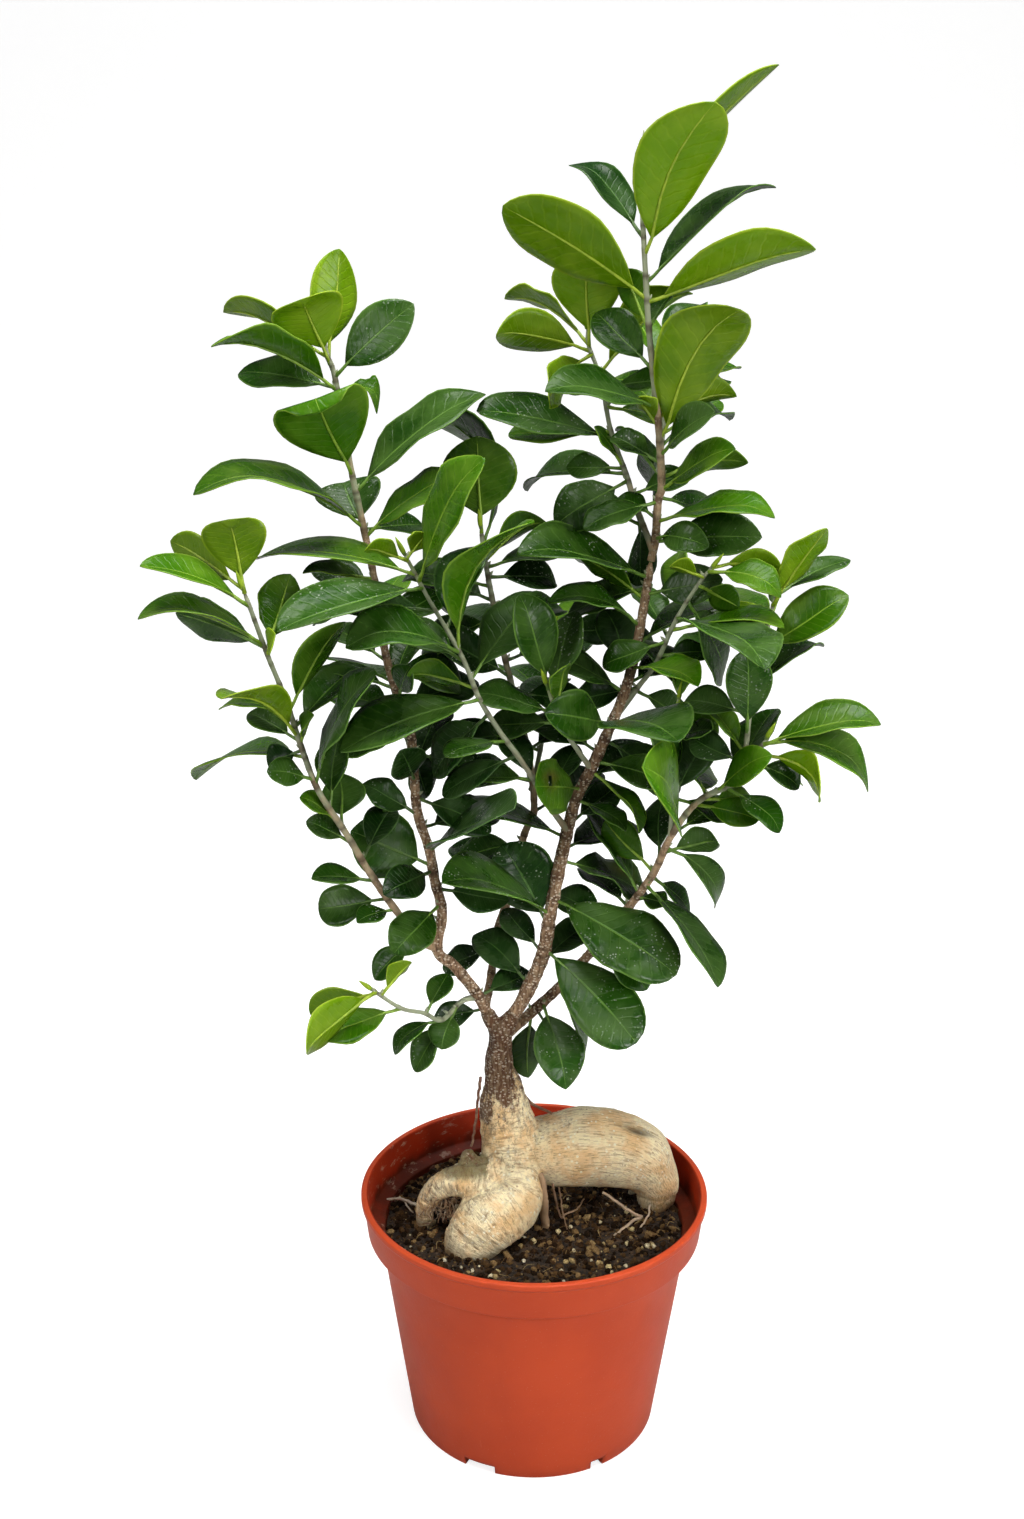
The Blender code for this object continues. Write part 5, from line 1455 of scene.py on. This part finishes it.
def potProfile():
    # radius and height, from the middle of the underside, up the outside and down to the floor inside
    rim, base, top = pot["rimRadius"], pot["baseRadius"], pot["height"]
    band, foot, floorHeight = pot["bandRadius"], pot["bandFoot"], pot["floor"]
    return [
        (0.02, 0), (15, 0), (17, 4), (base - 6, 4), (base - 3.5, 0), (base, 0),
        *((base + (band - base) * height / foot, height) for height in pot["wallRings"]), (band, foot),
        (72.3, 91), (73.9, 104.5), (rim, 105.4), (rim, top), (rim - 2.9, top), (70.8, 93.5),
        pot["wallTop"], pot["wallLow"], (base - 6, floorHeight), (0.02, floorHeight)]


def aboutAxis(angle, radius, height):
    return Matrix.Rotation(math.radians(angle), 4, "Z") @ Matrix.Translation((radius, 0, height))


def potCuts():
    # the drain holes and the notches in the foot ring
    cuts = bmesh.new()
    for index in range(pot["holes"]):
        hole = aboutAxis(360 / pot["holes"] * index + 30, pot["holeRing"], 5)
        bmesh.ops.create_cone(cuts, cap_ends=True, segments=24, depth=12, matrix=hole,
                              radius1=pot["holeRadius"], radius2=pot["holeRadius"])
    for angle, length in pot["notches"]:
        notch = aboutAxis(angle, pot["baseRadius"] - 3, 0)
        bmesh.ops.create_cube(cuts, size=1, matrix=notch @ Matrix.Diagonal((12, length, 8, 1)))
    return meshOf("potCuts", cuts)


def isInside(face):
    centre = face.calc_center_median()
    wall, inward = centre.xy.length, face.normal.xy.dot(centre.xy) < 0
    low, high, reach = pot["ledge"]
    foot, top = pot["floorSpan"]
    onLedge = low < centre.z < high and wall < reach and face.normal.z > 0.5
    onFloor = foot < centre.z < top
    onWall = centre.z > foot and inward and wall < pot["rimRadius"] - pot["wallInside"]
    return onLedge or onFloor or onWall


def buildPot():
    bm = bmesh.new()
    line = [bm.verts.new((radius, 0, height)) for radius, height in potProfile()]
    edges = [bm.edges.new(pair) for pair in zip(line, line[1:])]
    bmesh.ops.spin(bm, geom=line + edges, axis=(0, 0, 1), cent=(0, 0, 0), steps=pot["steps"],
                   angle=circle, use_merge=True)
    for height in (0, pot["floor"]):
        pole = [vert for vert in bm.verts if vert.co.xy.length < 0.1 and abs(vert.co.z - height) < 0.1]
        bmesh.ops.pointmerge(bm, verts=pole, merge_co=(0, 0, height))
    bmesh.ops.remove_doubles(bm, verts=bm.verts, dist=0.001)
    bmesh.ops.recalc_face_normals(bm, faces=bm.faces)
    sharp = [edge for edge in bm.edges if edge.is_manifold and edge.calc_face_angle() > 0.35
             and min(vert.co.xy.length for vert in edge.verts) > 14]
    bmesh.ops.bevel(bm, geom=sharp, offset=pot["rounding"], segments=3, profile=0.5, affect="EDGES",
                    material=-1)
    for face in bm.faces:
        face.material_index = int(isInside(face))
    mesh = potCuts()
    cutter = placed("potCuts", mesh)
    bm = shaped(bm, "BOOLEAN", operation="DIFFERENCE", object=cutter, solver="EXACT")
    bpy.data.objects.remove(cutter)
    bpy.data.meshes.remove(mesh)
    finished("pot_shell", bm, [potOutside, potInside], ["pot"])


buildPot()
print("pot built")

# room, light and camera

room = {
    "floor": (0.44, 0.44, 0.44), "paper": (0.46, 0.46, 0.455), "glow": 0.765, "front": -3.0, "back": 1.6,
    "radius": 1.2, "wide": 7.0, "high": 3.0, "bend": 12, "lit": 0.1,
}
white = (1.0, 1.0, 1.0)
floorPaint, where = newMaterial("floorPaint", 0.9)
seen = addNode("ShaderNodeLightPath", {}, "Is Camera Ray")
dress(blend(cloud(where, 3.0, 2.0), room["floor"], room["paper"]), None,
      [("Emission Color", white), ("Emission Strength", seen * room["glow"])])  # white, with faint shadows


def buildFloor():
    # a sheet that runs back level and then curves up
    bm = bmesh.new()
    edges = [bm.edges.new([bm.verts.new((side * room["wide"] / 2, room["front"], 0)) for side in (-1, 1)])]
    back, radius = room["back"], room["radius"]
    turns = [math.pi / 2 * step / room["bend"] for step in range(room["bend"] + 1)]
    bends = [(back + radius * math.sin(turn), radius * (1 - math.cos(turn))) for turn in turns]
    for y, z in [*bends, (back + radius, room["high"])]:
        geom = bmesh.ops.extrude_edge_only(bm, edges=edges)["geom"]
        edges = [item for item in geom if isinstance(item, bmesh.types.BMEdge)
                 and all(vert in geom for vert in item.verts)]
        for vert in edges[0].verts:
            vert.co.y, vert.co.z = y, z
    bmesh.ops.recalc_face_normals(bm, faces=bm.faces)
    for face in bm.faces:
        face.smooth = True
    mesh = meshOf("floor", bm)
    mesh.materials.append(floorPaint)
    return placed("floor", mesh)


floor = buildFloor()

world = bpy.data.worlds.new("room")
world.use_nodes = True
canvas["tree"] = world.node_tree
sky = world.node_tree.nodes["Background"].inputs
plug(white, sky["Color"])
seen = addNode("ShaderNodeLightPath", {}, "Is Camera Ray")
plug(seen * (1 - room["lit"]) + room["lit"], sky["Strength"])  # white behind the object, dim as a light
bpy.context.scene.world = world
lamps = [  # name, place, size, power, spread in degrees, aimed at
    ("top", (0.1, -0.1, 1.9), 1.5, 50.0, 180, (0, 0, 0.3)),
    ("left", (-1.5, -1.3, 1.1), 0.9, 16.0, 180, (0, 0, 0.25)),
    ("right", (1.4, -1.1, 0.9), 0.8, 18.0, 180, (0, 0, 0.15)),
    ("low", (0.55, -1.0, 0.80), 0.25, 0.068, 14, (0.02, 0, 0.16)),
]
for name, place, size, power, spread, target in lamps:
    light = bpy.data.lights.new(name, "AREA")
    light.shape = "DISK"
    light.size = size
    light.energy = power
    light.spread = math.radians(spread)
    lamp = placed(name, light)
    lamp.location = place
    lamp.rotation_euler = (Vector(target) - Vector(place)).to_track_quat("-Z", "Y").to_euler()

viewpoint = {"place": (-0.0103, -0.676, 0.513), "pitch": -17.3, "roll": 0.23, "lens": 41.7}
view = bpy.data.cameras.new("view")
view.sensor_fit = "VERTICAL"
view.sensor_height = 36
view.lens = viewpoint["lens"]
view.clip_start = 0.01
camera = placed("view", view)
camera.matrix_world = (Matrix.Translation(viewpoint["place"])
                       @ Matrix.Rotation(math.radians(90 + viewpoint["pitch"]), 4, "X")
                       @ Matrix.Rotation(math.radians(viewpoint["roll"]), 4, "Z"))
bpy.context.scene.camera = camera
bpy.context.scene.view_settings.view_transform = "Standard"

print("room, light and camera ready")
